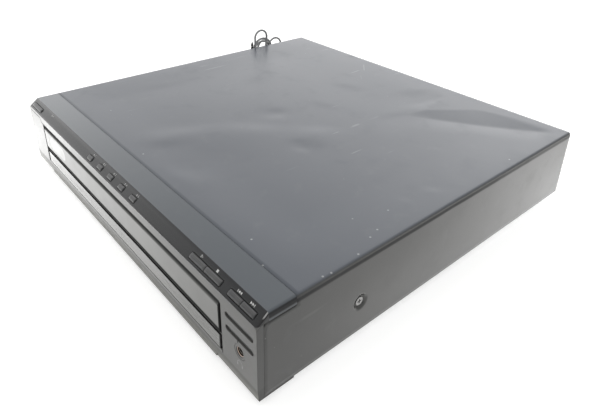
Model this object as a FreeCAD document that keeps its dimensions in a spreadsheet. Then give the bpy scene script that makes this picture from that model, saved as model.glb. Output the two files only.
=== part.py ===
"""A slim five-disc DVD changer with a front carousel tray, in millimetres.

X runs to the right as seen from the front, Y runs to the back, Z runs up from the table.
The origin is under the middle of the case. Every driving size is a cell of the sheet dims,
every place worked out from them is a formula in the sheet places.
"""

import FreeCAD, Part
import math
import os
import re
import Sketcher
from FreeCAD import Placement, Rotation, Vector

# Driving sizes

SIZES = {
    # case
    "case_width": 430,
    "case_depth": 405,
    "case_height": 72,
    "foot_height": 8,
    "foot_radius": 12,
    "foot_inset_x": 46,
    "foot_inset_y": 52,
    "sheet": 0.8,
    "bend_radius": 3,
    "cover_lift": 0.8,
    "rear_recess": 1,
    "chassis_wall": 1.2,
    "chassis_inset": 2.6,
    "chassis_flange": 13,
    "chassis_setback": 12,
    "seam_gap": 0.25,
    "dish_radius": 7.4,
    "dish_depth": 3,
    "dish_setback": 94.3,
    "dish_height": 37.2,
    "screw_radius": 1.5,
    "screw_head_radius": 3.6,
    "screw_head_height": 1.8,
    "screw_reach": 6,
    "hole_clearance": 0.2,
    # front moulding
    "seam_depth": 32.3,
    "side_seam": 5.6,
    "strip_rise": 7.4,
    "strip_run": 9.5,
    "bezel_wall": 2.2,
    "bezel_drop": 1,
    "lip_height": 11,
    "lip_slope": 1,
    "arm_reach": 31,
    "arm_height": 7.2,
    "tray_opening_width": 348.6,
    "tray_opening_low": 34,
    "tray_opening_high": 63.6,
    "door_gap_side": 2.4,
    "door_gap_top": 1.8,
    "door_gap_bottom": 1,
    "door_thickness": 3.2,
    "door_bevel": 2.4,
    "window_low": 19.6,
    "window_high": 32.6,
    "window_thickness": 2.2,
    "window_side_gap": 2.4,
    "window_gap": 0.2,
    "groove_depth": 1.2,
    # keys
    "key_clearance": 0.4,
    "key_pad": 2.4,
    "key_height": 1,
    "key_depth": 3.4,
    "key_travel": 0.7,
    "switch_clearance": 0.1,
    "switch_size": 6,
    "switch_height": 2.6,
    "board": 1.2,
    "power_key_x": -194.8,
    "power_key_width": 26.4,
    "disc_key_x": -47.5,
    "disc_key_pitch": 22,
    "disc_key_width": 9,
    "play_key_x": 142,
    "stop_key_x": 161.6,
    "pair_key_width": 19.2,
    "previous_key_x": 187.3,
    "next_key_x": 201.6,
    "skip_key_width": 14,
    "key_low": 2.7,
    "key_high": 7.1,
    "slot_x": 195.4,
    "slot_width": 31.5,
    "slot_height": 4.6,
    "upper_slot_z": 59,
    "lower_slot_z": 47.6,
    "slot_recess": 1.3,
    "jack_hole_x": 195.7,
    "jack_hole_z": 36.8,
    "jack_hole_radius": 6,
    "jack_bore_radius": 3.25,
    "jack_bore_depth": 30,
    # tray and carousel
    "tray_width": 346,
    "tray_floor_z": 40,
    "tray_floor": 2.2,
    "tray_wall": 2,
    "tray_wall_top": 57,
    "tray_length": 367,
    "tray_mouth": 75,
    "tray_mouth_start": 230,
    "tray_front_top": 60,
    "tray_rib_x": 152,
    "tray_rib_width": 5.2,
    "tray_rib_depth": 5,
    "rib_clearance": 0.6,
    "turntable_setback": 190,
    "turntable_radius": 168.5,
    "turntable_low": 46.2,
    "turntable_thickness": 8.8,
    "well_radius": 61,
    "well_depth": 5.5,
    "well_pitch_radius": 105,
    "well_slot_width": 62,
    "well_slot_start": 73,
    "hub_pin_radius": 3,
    "shaft_clearance": 0.05,
    "hub_wheel_radius": 40,
    "hub_wheel_height": 3.2,
    "turntable_motor_radius": 12,
    "turntable_motor_x": -148,
    "turntable_motor_setback": 36,
    "small_pulley_radius": 5,
    "belt_thickness": 1.2,
    "belt_gap": 0.3,
    # tray drive
    "gear_module": 1.5,
    "rack_x": -121,
    "rack_back": 4,
    "pinion_setback": 62,
    "drive_motor_distance": 50,
    "drive_motor_radius": 12,
    "belt_wheel_radius": 17,
    "motor_pulley_radius": 4,
    "shaft_radius": 2,
    # mechanism base
    "base_plate": 2.8,
    "base_half_width": 165,
    "base_front": 20,
    "base_step": 150,
    "spine_half_width": 62,
    "base_rear": 390,
    # disc drive unit that rises through the carousel
    "tub_half_width": 29,
    "tub_front": 266,
    "tub_rear": 389,
    "tub_low": 19,
    "tub_high": 41.5,
    "tub_wall": 2,
    "lift_travel": 13,
    "lift_run": 30,
    "lift_pin_x": 22,
    "lift_pin_z": 26,
    "lift_pin_radius": 1.5,
    "slider_thickness": 3,
    "slider_gap": 2,
    "lift_motor_radius": 12,
    "lift_motor_height": 8.4,
    "spindle_motor_radius": 12.5,
    "spindle_motor_height": 17,
    "hub_radius": 14.4,
    "hub_cone_radius": 7.4,
    "sled_start": 311,
    "sled_length": 34,
    "sled_half_width": 22,
    "rod_x": 19.5,
    "rod_radius": 1.5,
    "sled_module": 1,
    "sled_motor_radius": 8,
    "sled_gear_x": 17.5,
    # clamp
    "bridge_z": 68,
    "bridge_sheet": 1.2,
    "bridge_half_width": 205,
    "bridge_depth": 54,
    "clamper_radius": 14,
    "clamper_flange": 18,
    "clamper_low": 58,
    # circuit boards
    "board_z": 14,
    "standoff_radius": 3,
    "main_board_left": 82,
    "main_board_right": 200,
    "main_board_depth": 238,
    "main_board_gap": 8,
    "power_board_left": -200,
    "power_board_right": -82,
    "power_board_depth": 130,
    "power_board_gap": 12,
    # rear
    "jack_reach": 9,
    "jack_radius": 4.1,
    "jack_wall": 0.7,
    "jack_collar": 1.6,
    "jack_pin_hole": 1.6,
    "jack_pitch": 17,
    "jack_row_low": 32,
    "jack_row_high": 52,
    "cord_x": -172,
    "cord_z": 24,
    "cord_diameter": 3,
    "gland_radius": 5,
    "relief_length": 22,
}

# Places worked out from the sizes; "setback" is a distance behind the front face

PLACES = {
    "half_width": "case_width / 2",
    "front": "-(case_depth - rear_recess + jack_reach) / 2",
    "rear_edge": "front + case_depth",
    "rear_face": "rear_edge - rear_recess",
    "case_top": "foot_height + case_height",
    "cover_low": "foot_height + cover_lift",
    "seam_y": "front + seam_depth",
    "bezel_low": "foot_height - bezel_drop",
    "strip_angle": "atan(strip_rise / strip_run)",
    "strip_low": "case_top - strip_rise",
    "floor_top": "foot_height + chassis_wall",
    "chassis_half": "half_width - chassis_inset",
    "base_top": "floor_top + base_plate",
    "door_half": "tray_opening_width / 2 - door_gap_side",
    "door_low": "tray_opening_low + door_gap_bottom",
    "door_high": "tray_opening_high - door_gap_top",
    "tray_half": "tray_width / 2",
    "tray_front_y": "front + door_thickness",
    "floor_high": "tray_floor_z + tray_floor",
    "centre_y": "front + turntable_setback",
    "turntable_high": "turntable_low + turntable_thickness",
    "spindle_y": "centre_y + well_pitch_radius",
    "dish_y": "front + dish_setback",
    "dish_floor": "half_width - dish_depth",
    "switch_gap": "key_travel + switch_clearance",
    "switch_top": "key_depth + switch_gap",
    "switch_foot": "switch_top + switch_height",
    "bar_back": "slot_recess + key_depth",
    "board_top": "board_z + board",
    "main_board_rear": "rear_face - main_board_gap",
    "main_board_front": "main_board_rear - main_board_depth",
    "power_board_rear": "rear_face - power_board_gap",
    "power_board_front": "power_board_rear - power_board_depth",
    "motor_y": "front + turntable_motor_setback",
    "pinion_y": "front + pinion_setback",
    "gear_high": "tray_floor_z - 0.4",
    "gear_low": "gear_high - 4",
    "wheel_low": "gear_low - 7.6",
    "slider_low": "tub_low + 2",
    "slider_back": "front + tub_front - slider_gap",
    "slider_face": "slider_back - slider_thickness",
    "lift_gear_y": "slider_face - 15",
    "rod_z": "tub_low + 16",
    "sled_gear_y": "front + sled_start + sled_length",
}

doc = FreeCAD.newDocument("dvd_changer")
dims = doc.addObject("Spreadsheet::Sheet", "dims")
places = doc.addObject("Spreadsheet::Sheet", "places")
nodes = {}


# Formulas and sheets


def formula(text, inside_places=False):
    """Writes the sheet's name before each size or place that a formula names."""

    def owned(match):
        word = match.group(0)
        if word in SIZES:
            return "dims." + word
        if word in PLACES and not inside_places:
            return "places." + word
        return word

    return re.sub(r"[a-z][a-z_0-9]*", owned, str(text))


def fill_sheets():
    """Fills dims with the plain numbers and places with their formulas, each under its alias."""
    for row, (alias, value) in enumerate(SIZES.items(), 1):
        dims.set(f"A{row}", alias)
        dims.set(f"B{row}", str(value))
        dims.setAlias(f"B{row}", alias)
    doc.recompute()
    for row, (alias, text) in enumerate(PLACES.items(), 1):
        places.set(f"A{row}", alias)
        places.set(f"B{row}", "=" + formula(text, inside_places=True))
        places.setAlias(f"B{row}", alias)
    doc.recompute()


def size(alias):
    """A size or place as a number, for the shapes that are worked out in code."""
    sheet = dims if alias in SIZES else places
    return float(sheet.get(alias))


def bind(thing, path, text):
    thing.setExpression(path, formula(text))


# Solids and their combinations


def node(name, thing):
    """Names a finished sub-part."""
    thing.Label = name
    nodes[name] = thing
    return thing


def box(low, high):
    """A block between two corners, each a triple of formulas."""
    block = doc.addObject("Part::Box", "block")
    for side, corner, start, end in zip(("Length", "Width", "Height"), "xyz", low, high):
        bind(block, side, f"({end}) - ({start})")
        bind(block, "Placement.Base." + corner, start)
    return block


TURNS = {
    "x": Rotation(Vector(0, 1, 0), 90),
    "y": Rotation(Vector(1, 0, 0), -90),
    "z": Rotation(),
}


def rod(axis, start, radius, length):
    """A cylinder that runs along +x, +y or +z from its start."""
    cylinder = doc.addObject("Part::Cylinder", "rod")
    cylinder.Placement = Placement(Vector(), TURNS[axis])
    bind(cylinder, "Radius", radius)
    bind(cylinder, "Height", length)
    for corner, place in zip("xyz", start):
        bind(cylinder, "Placement.Base." + corner, place)
    return cylinder


def cone(axis, start, first_radius, last_radius, length):
    """A cone or tapered boss that runs along +x, +y or +z from its start."""
    taper = doc.addObject("Part::Cone", "taper")
    taper.Placement = Placement(Vector(), TURNS[axis])
    bind(taper, "Radius1", first_radius)
    bind(taper, "Radius2", last_radius)
    bind(taper, "Height", length)
    for corner, place in zip("xyz", start):
        bind(taper, "Placement.Base." + corner, place)
    return taper


def on_strip(x_low, x_high, slope_low, slope_high, out_low, out_high):
    """A block in the sloped strip's own axes: across the case, up the slope, and out of its face."""
    block = doc.addObject("Part::Box", "sloped_block")
    block.Placement = Placement(Vector(), Rotation(Vector(1, 0, 0), 30))
    bind(block, "Placement.Rotation.Angle", "strip_angle")
    bind(block, "Length", f"({x_high}) - ({x_low})")
    bind(block, "Width", f"({slope_high}) - ({slope_low})")
    bind(block, "Height", f"({out_high}) - ({out_low})")
    bind(block, "Placement.Base.x", x_low)
    bind(
        block,
        "Placement.Base.y",
        f"front + ({slope_low}) * cos(strip_angle) - ({out_low}) * sin(strip_angle)",
    )
    bind(
        block,
        "Placement.Base.z",
        f"strip_low + ({slope_low}) * sin(strip_angle) + ({out_low}) * cos(strip_angle)",
    )
    return block


def fuse(*pieces):
    if len(pieces) == 1:
        return pieces[0]
    joined = doc.addObject("Part::MultiFuse", "joined")
    joined.Shapes = list(pieces)
    joined.Refine = True
    return joined


def cut(base, *tools):
    carved = doc.addObject("Part::Cut", "carved")
    carved.Base = base
    carved.Tool = fuse(*tools)
    carved.Refine = True
    return carved


def group(*pieces):
    """Separate solids that share one node."""
    together = doc.addObject("Part::Compound", "group")
    together.Links = list(pieces)
    return together


def coded(shape, place=None):
    """A shape worked out in code, set down at a place."""
    feature = doc.addObject("Part::Feature", "coded")
    feature.Shape = shape
    if place is not None:
        feature.Placement = place
    return feature


# Sketched bodies

PLANES = {"xy": "XY_Plane", "xz": "XZ_Plane", "yz": "YZ_Plane"}


def sketch_on(body, plane, offset, outlines):
    """A sketch of closed outlines, each a list of corners or a circle (x, y, radius), bound to the sheets."""
    sketch = body.newObject("Sketcher::SketchObject", "sketch")
    origin_plane = [o for o in body.Origin.OriginFeatures if o.Role == PLANES[plane]][0]
    sketch.AttachmentSupport = [(origin_plane, "")]
    sketch.MapMode = "FlatFace"
    bind(sketch, "AttachmentOffset.Base.z", offset)
    for outline in outlines:
        if isinstance(outline, tuple):
            add_circle(sketch, *outline)
        else:
            add_polygon(sketch, outline)
    return sketch


def pin_point(sketch, curve, point, corner):
    """Holds one point of a curve at a corner given by two formulas."""
    for kind, text in zip(("DistanceX", "DistanceY"), corner):
        index = sketch.addConstraint(Sketcher.Constraint(kind, -1, 1, curve, point, 1.0))
        bind(sketch, f"Constraints[{index}]", text)


def add_circle(sketch, x, y, radius):
    curve = sketch.addGeometry(Part.Circle(Vector(1, 1, 0), Vector(0, 0, 1), 5))
    pin_point(sketch, curve, 3, (x, y))
    index = sketch.addConstraint(Sketcher.Constraint("Radius", curve, 5))
    bind(sketch, f"Constraints[{index}]", radius)


def add_polygon(sketch, corners):
    count = len(corners)
    angles = [2 * math.pi * i / count for i in range(count)]
    start = [Vector(10 * math.cos(a), 10 * math.sin(a), 0) for a in angles]
    lines = [Part.LineSegment(start[i], start[(i + 1) % count]) for i in range(count)]
    first = sketch.addGeometry(lines)[0]
    for i in range(count):
        follow = first + (i + 1) % count
        sketch.addConstraint(Sketcher.Constraint("Coincident", first + i, 2, follow, 1))
    for i, corner in enumerate(corners):
        pin_point(sketch, first + i, 1, corner)


def add_pad(body, plane, start, end, *outlines):
    """Pads outlines between two places along the plane's normal; the xz plane's normal is -Y."""
    offset = f"-({end})" if plane == "xz" else start
    pad = body.newObject("PartDesign::Pad", "pad")
    pad.Profile = sketch_on(body, plane, offset, outlines)
    bind(pad, "Length", f"({end}) - ({start})")
    return pad


def add_pocket(body, plane, start, end, *outlines):
    """Pockets outlines between two places along the plane's normal."""
    offset = f"-({end})" if plane == "xz" else start
    pocket = body.newObject("PartDesign::Pocket", "pocket")
    pocket.Profile = sketch_on(body, plane, offset, outlines)
    pocket.Reversed = True
    bind(pocket, "Length", f"({end}) - ({start})")
    return pocket


def new_body():
    return doc.addObject("PartDesign::Body", "body")


def prism(plane, start, end, *outlines):
    """A body that is one pad."""
    body = new_body()
    add_pad(body, plane, start, end, *outlines)
    return body


def rectangle(x_low, y_low, x_high, y_high):
    return [(x_low, y_low), (x_high, y_low), (x_high, y_high), (x_low, y_high)]


def edges_along(shape, direction, spots):
    """Names of the straight edges that run along a direction through one of the spots."""
    names = []
    for index, edge in enumerate(shape.Edges, 1):
        start, end = edge.firstVertex().Point, edge.lastVertex().Point
        run = end - start
        if run.Length < 1 or abs(run.normalize() * direction) < 0.999:
            continue
        for spot in spots:
            away = spot - start
            if (away - direction * (away * direction)).Length < 0.05:
                names.append(f"Edge{index}")
    return names


# Gears, racks, belts


def involute_gear(teeth, module, thickness, backlash, bore, phase):
    """A spur gear about Z with 20 degree involute flanks; phase turns it, in degrees."""
    pressure = math.radians(20)
    pitch_radius = teeth * module / 2
    base_radius = pitch_radius * math.cos(pressure)
    tip_radius = pitch_radius + 0.8 * module
    root_radius = pitch_radius - 1.05 * module
    half_pitch_angle = (math.pi * module / 2 - backlash) / (2 * pitch_radius)
    flank_steps = 5
    start = max(base_radius, root_radius)
    radii = [start + (tip_radius - start) * k / (flank_steps - 1) for k in range(flank_steps)]

    def half_angle(radius):
        at = math.acos(min(1, base_radius / radius))
        involute = math.tan(at) - at
        return half_pitch_angle + (math.tan(pressure) - pressure) - involute

    points = []
    for tooth in range(teeth):
        middle = math.radians(phase) + 2 * math.pi * tooth / teeth
        flank = [(root_radius, half_angle(start))] if root_radius < base_radius else []
        flank += [(radius, half_angle(radius)) for radius in radii]
        points += [polar(r, middle - a) for r, a in flank]
        points += [polar(r, middle + a) for r, a in reversed(flank)]
    outline = Part.Wire(Part.makePolygon(points + [points[0]]))
    gear = Part.Face(outline).extrude(Vector(0, 0, thickness))
    if bore:
        gear = gear.cut(Part.makeCylinder(bore, thickness))
    return gear


def polar(radius, angle):
    return Vector(radius * math.cos(angle), radius * math.sin(angle), 0)


def rack_bar(first, last, module, thickness, backlash, back):
    """A rack along X whose teeth point to -Y from the pitch line at y = 0, with a space at x = 0."""
    slope = math.tan(math.radians(20))
    pitch = math.pi * module
    half = pitch / 4 - backlash / 4
    tip, root = 0.7 * module, 1.1 * module
    points = [Vector(first * pitch, back, 0), Vector(first * pitch, root, 0)]
    for index in range(first, last):
        middle = (index + 0.5) * pitch
        points.append(Vector(middle - half - root * slope, root, 0))
        points.append(Vector(middle - half + tip * slope, -tip, 0))
        points.append(Vector(middle + half - tip * slope, -tip, 0))
        points.append(Vector(middle + half + root * slope, root, 0))
    points += [Vector(last * pitch, root, 0), Vector(last * pitch, back, 0)]
    outline = Part.makePolygon(points + [points[0]])
    return Part.Face(Part.Wire(outline)).extrude(Vector(0, 0, thickness))


def belt_outline(first, first_radius, second, second_radius):
    """Two arcs and the two straight runs that touch them, round two pulleys."""
    between = second - first
    facing = math.atan2(between.y, between.x)
    lean = math.acos((first_radius - second_radius) / between.Length)
    corners = [
        (first, first_radius, facing + lean),
        (first, first_radius, facing + math.pi),
        (first, first_radius, facing - lean),
        (second, second_radius, facing - lean),
        (second, second_radius, facing),
        (second, second_radius, facing + lean),
    ]
    spots = [centre + polar(radius, angle) for centre, radius, angle in corners]
    edges = [
        Part.Arc(spots[0], spots[1], spots[2]).toShape(),
        Part.LineSegment(spots[2], spots[3]).toShape(),
        Part.Arc(spots[3], spots[4], spots[5]).toShape(),
        Part.LineSegment(spots[5], spots[0]).toShape(),
    ]
    return Part.Wire(edges)


def belt(first, first_radius, second, second_radius, low, high):
    """A flat belt that runs a small gap outside two pulleys."""
    gap, wall = size("belt_gap"), size("belt_thickness")
    inner, outer = first_radius + gap, second_radius + gap
    hollow = Part.Face(belt_outline(first, inner, second, outer))
    whole = Part.Face(belt_outline(first, inner + wall, second, outer + wall))
    band = whole.extrude(Vector(0, 0, high - low)).cut(hollow.extrude(Vector(0, 0, high - low)))
    return coded(band, Placement(Vector(0, 0, low), Rotation()))


# Case


def top_cover():
    """Painted steel sheet bent into a top and two sides, with a screw dish drawn into each side."""
    body = new_body()
    add_pad(
        body,
        "xz",
        "seam_y + seam_gap",
        "rear_edge",
        [
            ("-half_width", "cover_low"),
            ("-half_width", "case_top"),
            ("half_width", "case_top"),
            ("half_width", "cover_low"),
            ("half_width - sheet", "cover_low"),
            ("half_width - sheet", "case_top - sheet"),
            ("sheet - half_width", "case_top - sheet"),
            ("sheet - half_width", "cover_low"),
        ],
    )
    doc.recompute()
    half, top, wall = size("half_width"), size("case_top"), size("sheet")
    for side, radius in ((0, "bend_radius"), (wall, "bend_radius - sheet")):
        before = body.Tip
        spots = [Vector(x, 0, top - side) for x in (side - half, half - side)]
        fillet = body.newObject("PartDesign::Fillet", "bend")
        fillet.Base = (before, edges_along(before.Shape, Vector(0, 1, 0), spots))
        bind(fillet, "Radius", radius)
        doc.recompute()
    for start in ("-half_width", "half_width - sheet"):
        tongue = rectangle(
            "front + side_seam + seam_gap",
            "cover_low",
            "seam_y + 2 * seam_gap",
            "case_top - arm_height - seam_gap",
        )
        add_pad(body, "yz", start, f"{start} + sheet", tongue)
    openings, dishes = [], []
    for sign in ("-", ""):
        start = "-half_width" if sign else "half_width - dish_depth - sheet"
        spot = (start, "dish_y", "dish_height")
        openings.append(rod("x", spot, "dish_radius + sheet / 2", "dish_depth + sheet"))
        cup = rod("x", spot, "dish_radius + sheet", "dish_depth + sheet")
        inner = "-half_width" if sign else "half_width - dish_depth"
        bowl = rod("x", (inner, "dish_y", "dish_height"), "dish_radius", "dish_depth")
        hole = rod("x", spot, "screw_radius + hole_clearance", "dish_depth + sheet")
        dishes.append(cut(cup, bowl, hole))
    node("top_cover", fuse(cut(body, *openings), *dishes))


def bottom_chassis():
    """Steel pan with turned-up sides, board posts, vent slots and a tab behind each cover screw."""
    front, rear = "front + chassis_setback", "rear_face - chassis_wall - seam_gap"
    body = prism(
        "xz",
        front,
        rear,
        [
            ("-chassis_half", "foot_height"),
            ("chassis_half", "foot_height"),
            ("chassis_half", "foot_height + chassis_flange"),
            ("chassis_half - chassis_wall", "foot_height + chassis_flange"),
            ("chassis_half - chassis_wall", "floor_top"),
            ("chassis_wall - chassis_half", "floor_top"),
            ("chassis_wall - chassis_half", "foot_height + chassis_flange"),
            ("-chassis_half", "foot_height + chassis_flange"),
        ],
    )
    tab_x = "dish_floor - sheet - seam_gap"
    tabs = []
    for sign in (-1, 1):
        ends = [f"{sign} * ({tab_x})", f"{sign} * ({tab_x} - chassis_wall)"]
        ends = ends if sign < 0 else ends[::-1]
        low = (ends[0], "dish_y - 8", "foot_height")
        high = (ends[1], "dish_y + 8", "dish_height + 8")
        start = (f"({ends[0]}) - 1", "dish_y", "dish_height")
        hole = rod("x", start, "screw_radius + hole_clearance / 2", "chassis_wall + 2")
        tabs.append(cut(box(low, high), hole))
    posts = []
    for left, right, near, far in (
        ("main_board_left", "main_board_right", "main_board_front", "main_board_rear"),
        ("power_board_left", "power_board_right", "power_board_front", "power_board_rear"),
    ):
        for x in (f"{left} + 8", f"{right} - 8"):
            for y in (f"{near} + 8", f"{far} - 12"):
                posts.append(rod("z", (x, y, "foot_height"), "standoff_radius", "board_z - foot_height"))
    slots = []
    for index in range(10):
        x = f"main_board_left + 20 + {index} * 9"
        low = (x, "main_board_front + 40", "foot_height - 1")
        high = (f"{x} + 3", "main_board_front + 90", "floor_top + 1")
        slots.append(box(low, high))
    node("bottom_chassis", cut(fuse(body, *tabs, *posts), *slots))


def rear_panel():
    """Steel back with holes for the sockets and the cord, and a row of vent slots."""
    low = "floor_top + seam_gap"
    high = "case_top - sheet - seam_gap"
    half = "half_width - sheet - seam_gap"
    holes = [("cord_x", "cord_z", "gland_radius")]
    for row in ("jack_row_low", "jack_row_high"):
        for index in range(5):
            x = f"main_board_left + 18 + {index} * jack_pitch"
            holes.append((x, row, "jack_radius + jack_collar + hole_clearance"))
    slots = []
    for index in range(12):
        x = f"-60 + {index} * 8"
        slots.append(rectangle(x, "case_top - 24", f"{x} + 3", "case_top - 8"))
    outline = [
        (f"-({half})", low),
        (half, low),
        (half, f"{high} - bend_radius"),
        (f"{half} - bend_radius", high),
        (f"bend_radius - ({half})", high),
        (f"-({half})", f"{high} - bend_radius"),
    ]
    node("rear_panel", prism("xz", "rear_face - chassis_wall", "rear_face", outline, *holes, *slots))


def feet():
    """Four round moulded feet under the pan."""
    pads = []
    for x in ("foot_inset_x - half_width", "half_width - foot_inset_x"):
        for y in ("front + foot_inset_y", "rear_edge - foot_inset_y"):
            sole = cone("z", (x, y, "0"), "foot_radius - 1.5", "foot_radius - 0.5", "2")
            pads.append(fuse(sole, rod("z", (x, y, "2"), "foot_radius", "foot_height - 2")))
    node("feet", group(*pads))


def case_screws():
    """Two cover screws in the side dishes and five along the top of the back, all alike."""
    screws = []
    for sign in (-1, 1):
        reach = "screw_reach + screw_head_height"
        start = "-dish_floor - screw_head_height"
        if sign > 0:
            start = f"dish_floor + screw_head_height - ({reach})"
        shank = rod("x", (start, "dish_y", "dish_height"), "screw_radius", reach)
        head_x = "-dish_floor - screw_head_height" if sign < 0 else "dish_floor"
        head = rod("x", (head_x, "dish_y", "dish_height"), "screw_head_radius", "screw_head_height")
        drive = [
            box(
                (f"{sign} * (dish_floor + screw_head_height) - 0.8", f"dish_y - {a}", f"dish_height - {b}"),
                (f"{sign} * (dish_floor + screw_head_height) + 0.8", f"dish_y + {a}", f"dish_height + {b}"),
            )
            for a, b in ((2, 0.45), (0.45, 2))
        ]
        screws.append(cut(fuse(shank, head), *drive))
    for x in (-190, -95, 20, 110, 190):
        spot = (str(x), "rear_face", "case_top - 4.6")
        head = rod("y", spot, "screw_head_radius - 0.6", "screw_head_height")
        slot_low = (f"{x} - 2", "rear_face + screw_head_height - 0.8", "case_top - 5.05")
        slot_high = (f"{x} + 2", "rear_face + 3", "case_top - 4.15")
        drive = box(slot_low, slot_high)
        screws.append(cut(head, drive))
    node("case_screws", group(*screws))


# Front moulding, window and door


def key_holes():
    """Through holes in the strip, one round each key or pair of keys."""
    holes = []
    for left, right in STRIP_RECESSES:
        holes.append(
            on_strip(
                f"({left}) - key_clearance",
                f"({right}) + key_clearance",
                "key_low - key_clearance",
                "key_high + key_clearance",
                "-bezel_wall * 3",
                "2",
            )
        )
    return holes


def pill(x, z, width, height, y_low, y_high):
    """A bar with round ends that runs across the front."""
    flat = f"(({width}) - ({height})) / 2"
    low = (f"({x}) - {flat}", y_low, f"({z}) - ({height}) / 2")
    high = (f"({x}) + {flat}", y_high, f"({z}) + ({height}) / 2")
    block = box(low, high)
    length = f"({y_high}) - ({y_low})"
    ends = [rod("y", (f"({x}) {sign} {flat}", y_low, z), f"({height}) / 2", length) for sign in "-+"]
    return fuse(block, *ends)


def front_bezel():
    """One moulding: front wall, sloped key strip, top band, and C-shaped ends round the cover's sides."""
    wall_y = "front + bezel_wall"
    profile = [
        ("front", "bezel_low + lip_height"),
        ("front", "strip_low"),
        ("front + strip_run", "case_top"),
        ("seam_y", "case_top"),
        ("seam_y", "case_top - bezel_wall"),
        ("front + strip_run + bezel_wall * 0.35", "case_top - bezel_wall"),
        (wall_y, "strip_low - bezel_wall * 0.6"),
        (wall_y, "bezel_low + 1.6"),
        ("front + chassis_setback - 0.5", "bezel_low + 1.6"),
        ("front + chassis_setback - 0.5", "bezel_low"),
        ("front + lip_slope", "bezel_low"),
    ]
    shell = prism("yz", "-half_width", "half_width", profile)
    end_shape = [
        ("front", "bezel_low + lip_height"),
        ("front", "strip_low"),
        ("front + strip_run", "case_top"),
        ("seam_y", "case_top"),
        ("seam_y", "case_top - arm_height"),
        ("front + side_seam", "case_top - arm_height"),
        ("front + side_seam", "cover_low - 0.3"),
        ("front + arm_reach", "cover_low - 0.3"),
        ("front + arm_reach", "bezel_low"),
        ("front + lip_slope", "bezel_low"),
    ]
    ends = [
        prism("yz", "-half_width", "bezel_wall - half_width", end_shape),
        prism("yz", "half_width - bezel_wall", "half_width", end_shape),
    ]
    low_y, deep_y = "front - 2", "front + bezel_wall + 1"
    opening_half = "tray_opening_width / 2"
    cuts = [
        box((f"-{opening_half}", low_y, "tray_opening_low"), (opening_half, deep_y, "tray_opening_high")),
        box((f"-{opening_half}", low_y, "window_low"), (opening_half, deep_y, "window_high")),
        box(
            (f"-{opening_half}", low_y, "window_high - 1"),
            (opening_half, "front + groove_depth", "tray_opening_low + 1"),
        ),
        rod("y", ("jack_hole_x", low_y, "jack_hole_z"), "jack_hole_radius", "bezel_wall + 4"),
    ]
    for z in ("upper_slot_z", "lower_slot_z"):
        cuts.append(pill("slot_x", z, "slot_width", "slot_height", low_y, deep_y))
    node("front_bezel", cut(fuse(shell, *ends), *cuts, *key_holes()))


def display_window():
    """Smoked window that fills the lower opening of the front."""
    half = "tray_opening_width / 2 - window_side_gap"
    plate = box(
        (f"-({half})", "front + window_gap", "window_low + window_gap"),
        (half, "front + window_gap + window_thickness", "window_high - window_gap"),
    )
    tabs = [
        box(
            (f"{x} - 6", "front + bezel_wall + window_gap", "window_low - 2"),
            (f"{x} + 6", "front + bezel_wall + window_gap + 1.4", "window_high - window_gap - 1"),
        )
        for x in (-150, 0, 150)
    ]
    node("display_window", fuse(plate, *tabs))


def tray_front():
    """Door plate on the tray, with a bevelled top edge."""
    profile = [
        ("front", "door_low + 0.4"),
        ("front", "door_high - door_bevel"),
        ("front + door_bevel * 0.7", "door_high"),
        ("tray_front_y", "door_high"),
        ("tray_front_y", "door_low"),
        ("front + 0.4", "door_low"),
    ]
    node("tray_front", prism("yz", "-door_half", "door_half", profile))


# Keys

STRIP_KEYS = {"power_button": ("power_key_x", "power_key_width")}
for number in range(5):
    STRIP_KEYS[f"disc_button_{number + 1}"] = (f"disc_key_x + {number} * disc_key_pitch", "disc_key_width")
STRIP_KEYS["play_button"] = ("play_key_x", "pair_key_width")
STRIP_KEYS["stop_button"] = ("stop_key_x", "pair_key_width")
STRIP_KEYS["previous_button"] = ("previous_key_x", "skip_key_width")
STRIP_KEYS["next_button"] = ("next_key_x", "skip_key_width")

STRIP_RECESSES = [(f"{x} - {width} / 2", f"{x} + {width} / 2") for x, width in list(STRIP_KEYS.values())[:6]]
STRIP_RECESSES.append(("play_key_x - pair_key_width / 2", "stop_key_x + pair_key_width / 2"))
STRIP_RECESSES.append(("previous_key_x - skip_key_width / 2", "next_key_x + skip_key_width / 2"))


def strip_keys():
    """Ten keys that stand out of the sloped strip, each with a stem to its switch."""
    for name, (x, width) in STRIP_KEYS.items():
        ends = (f"{x} - {width} / 2", f"{x} + {width} / 2")
        cap = on_strip(*ends, "key_low", "key_high", "-key_pad", "key_height")
        middle = "(key_low + key_high) / 2"
        across = (f"{x} - 1.5", f"{x} + 1.5", f"{middle} - 1.5", f"{middle} + 1.5")
        stem = on_strip(*across, "-key_depth", "-key_pad")
        node(name, fuse(cap, stem))


def front_keys():
    """The two bar keys in the slots at the right of the front."""
    for name, z in (("open_close_button", "upper_slot_z"), ("disc_skip_button", "lower_slot_z")):
        width = "slot_width - 2 * key_clearance"
        height = "slot_height - 2 * key_clearance"
        bar = pill("slot_x", z, width, height, "front + slot_recess", "front + bar_back - 1")
        stem = rod("y", ("slot_x", "front + bar_back - 1", z), "1.5", "1")
        node(name, fuse(bar, stem))


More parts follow.
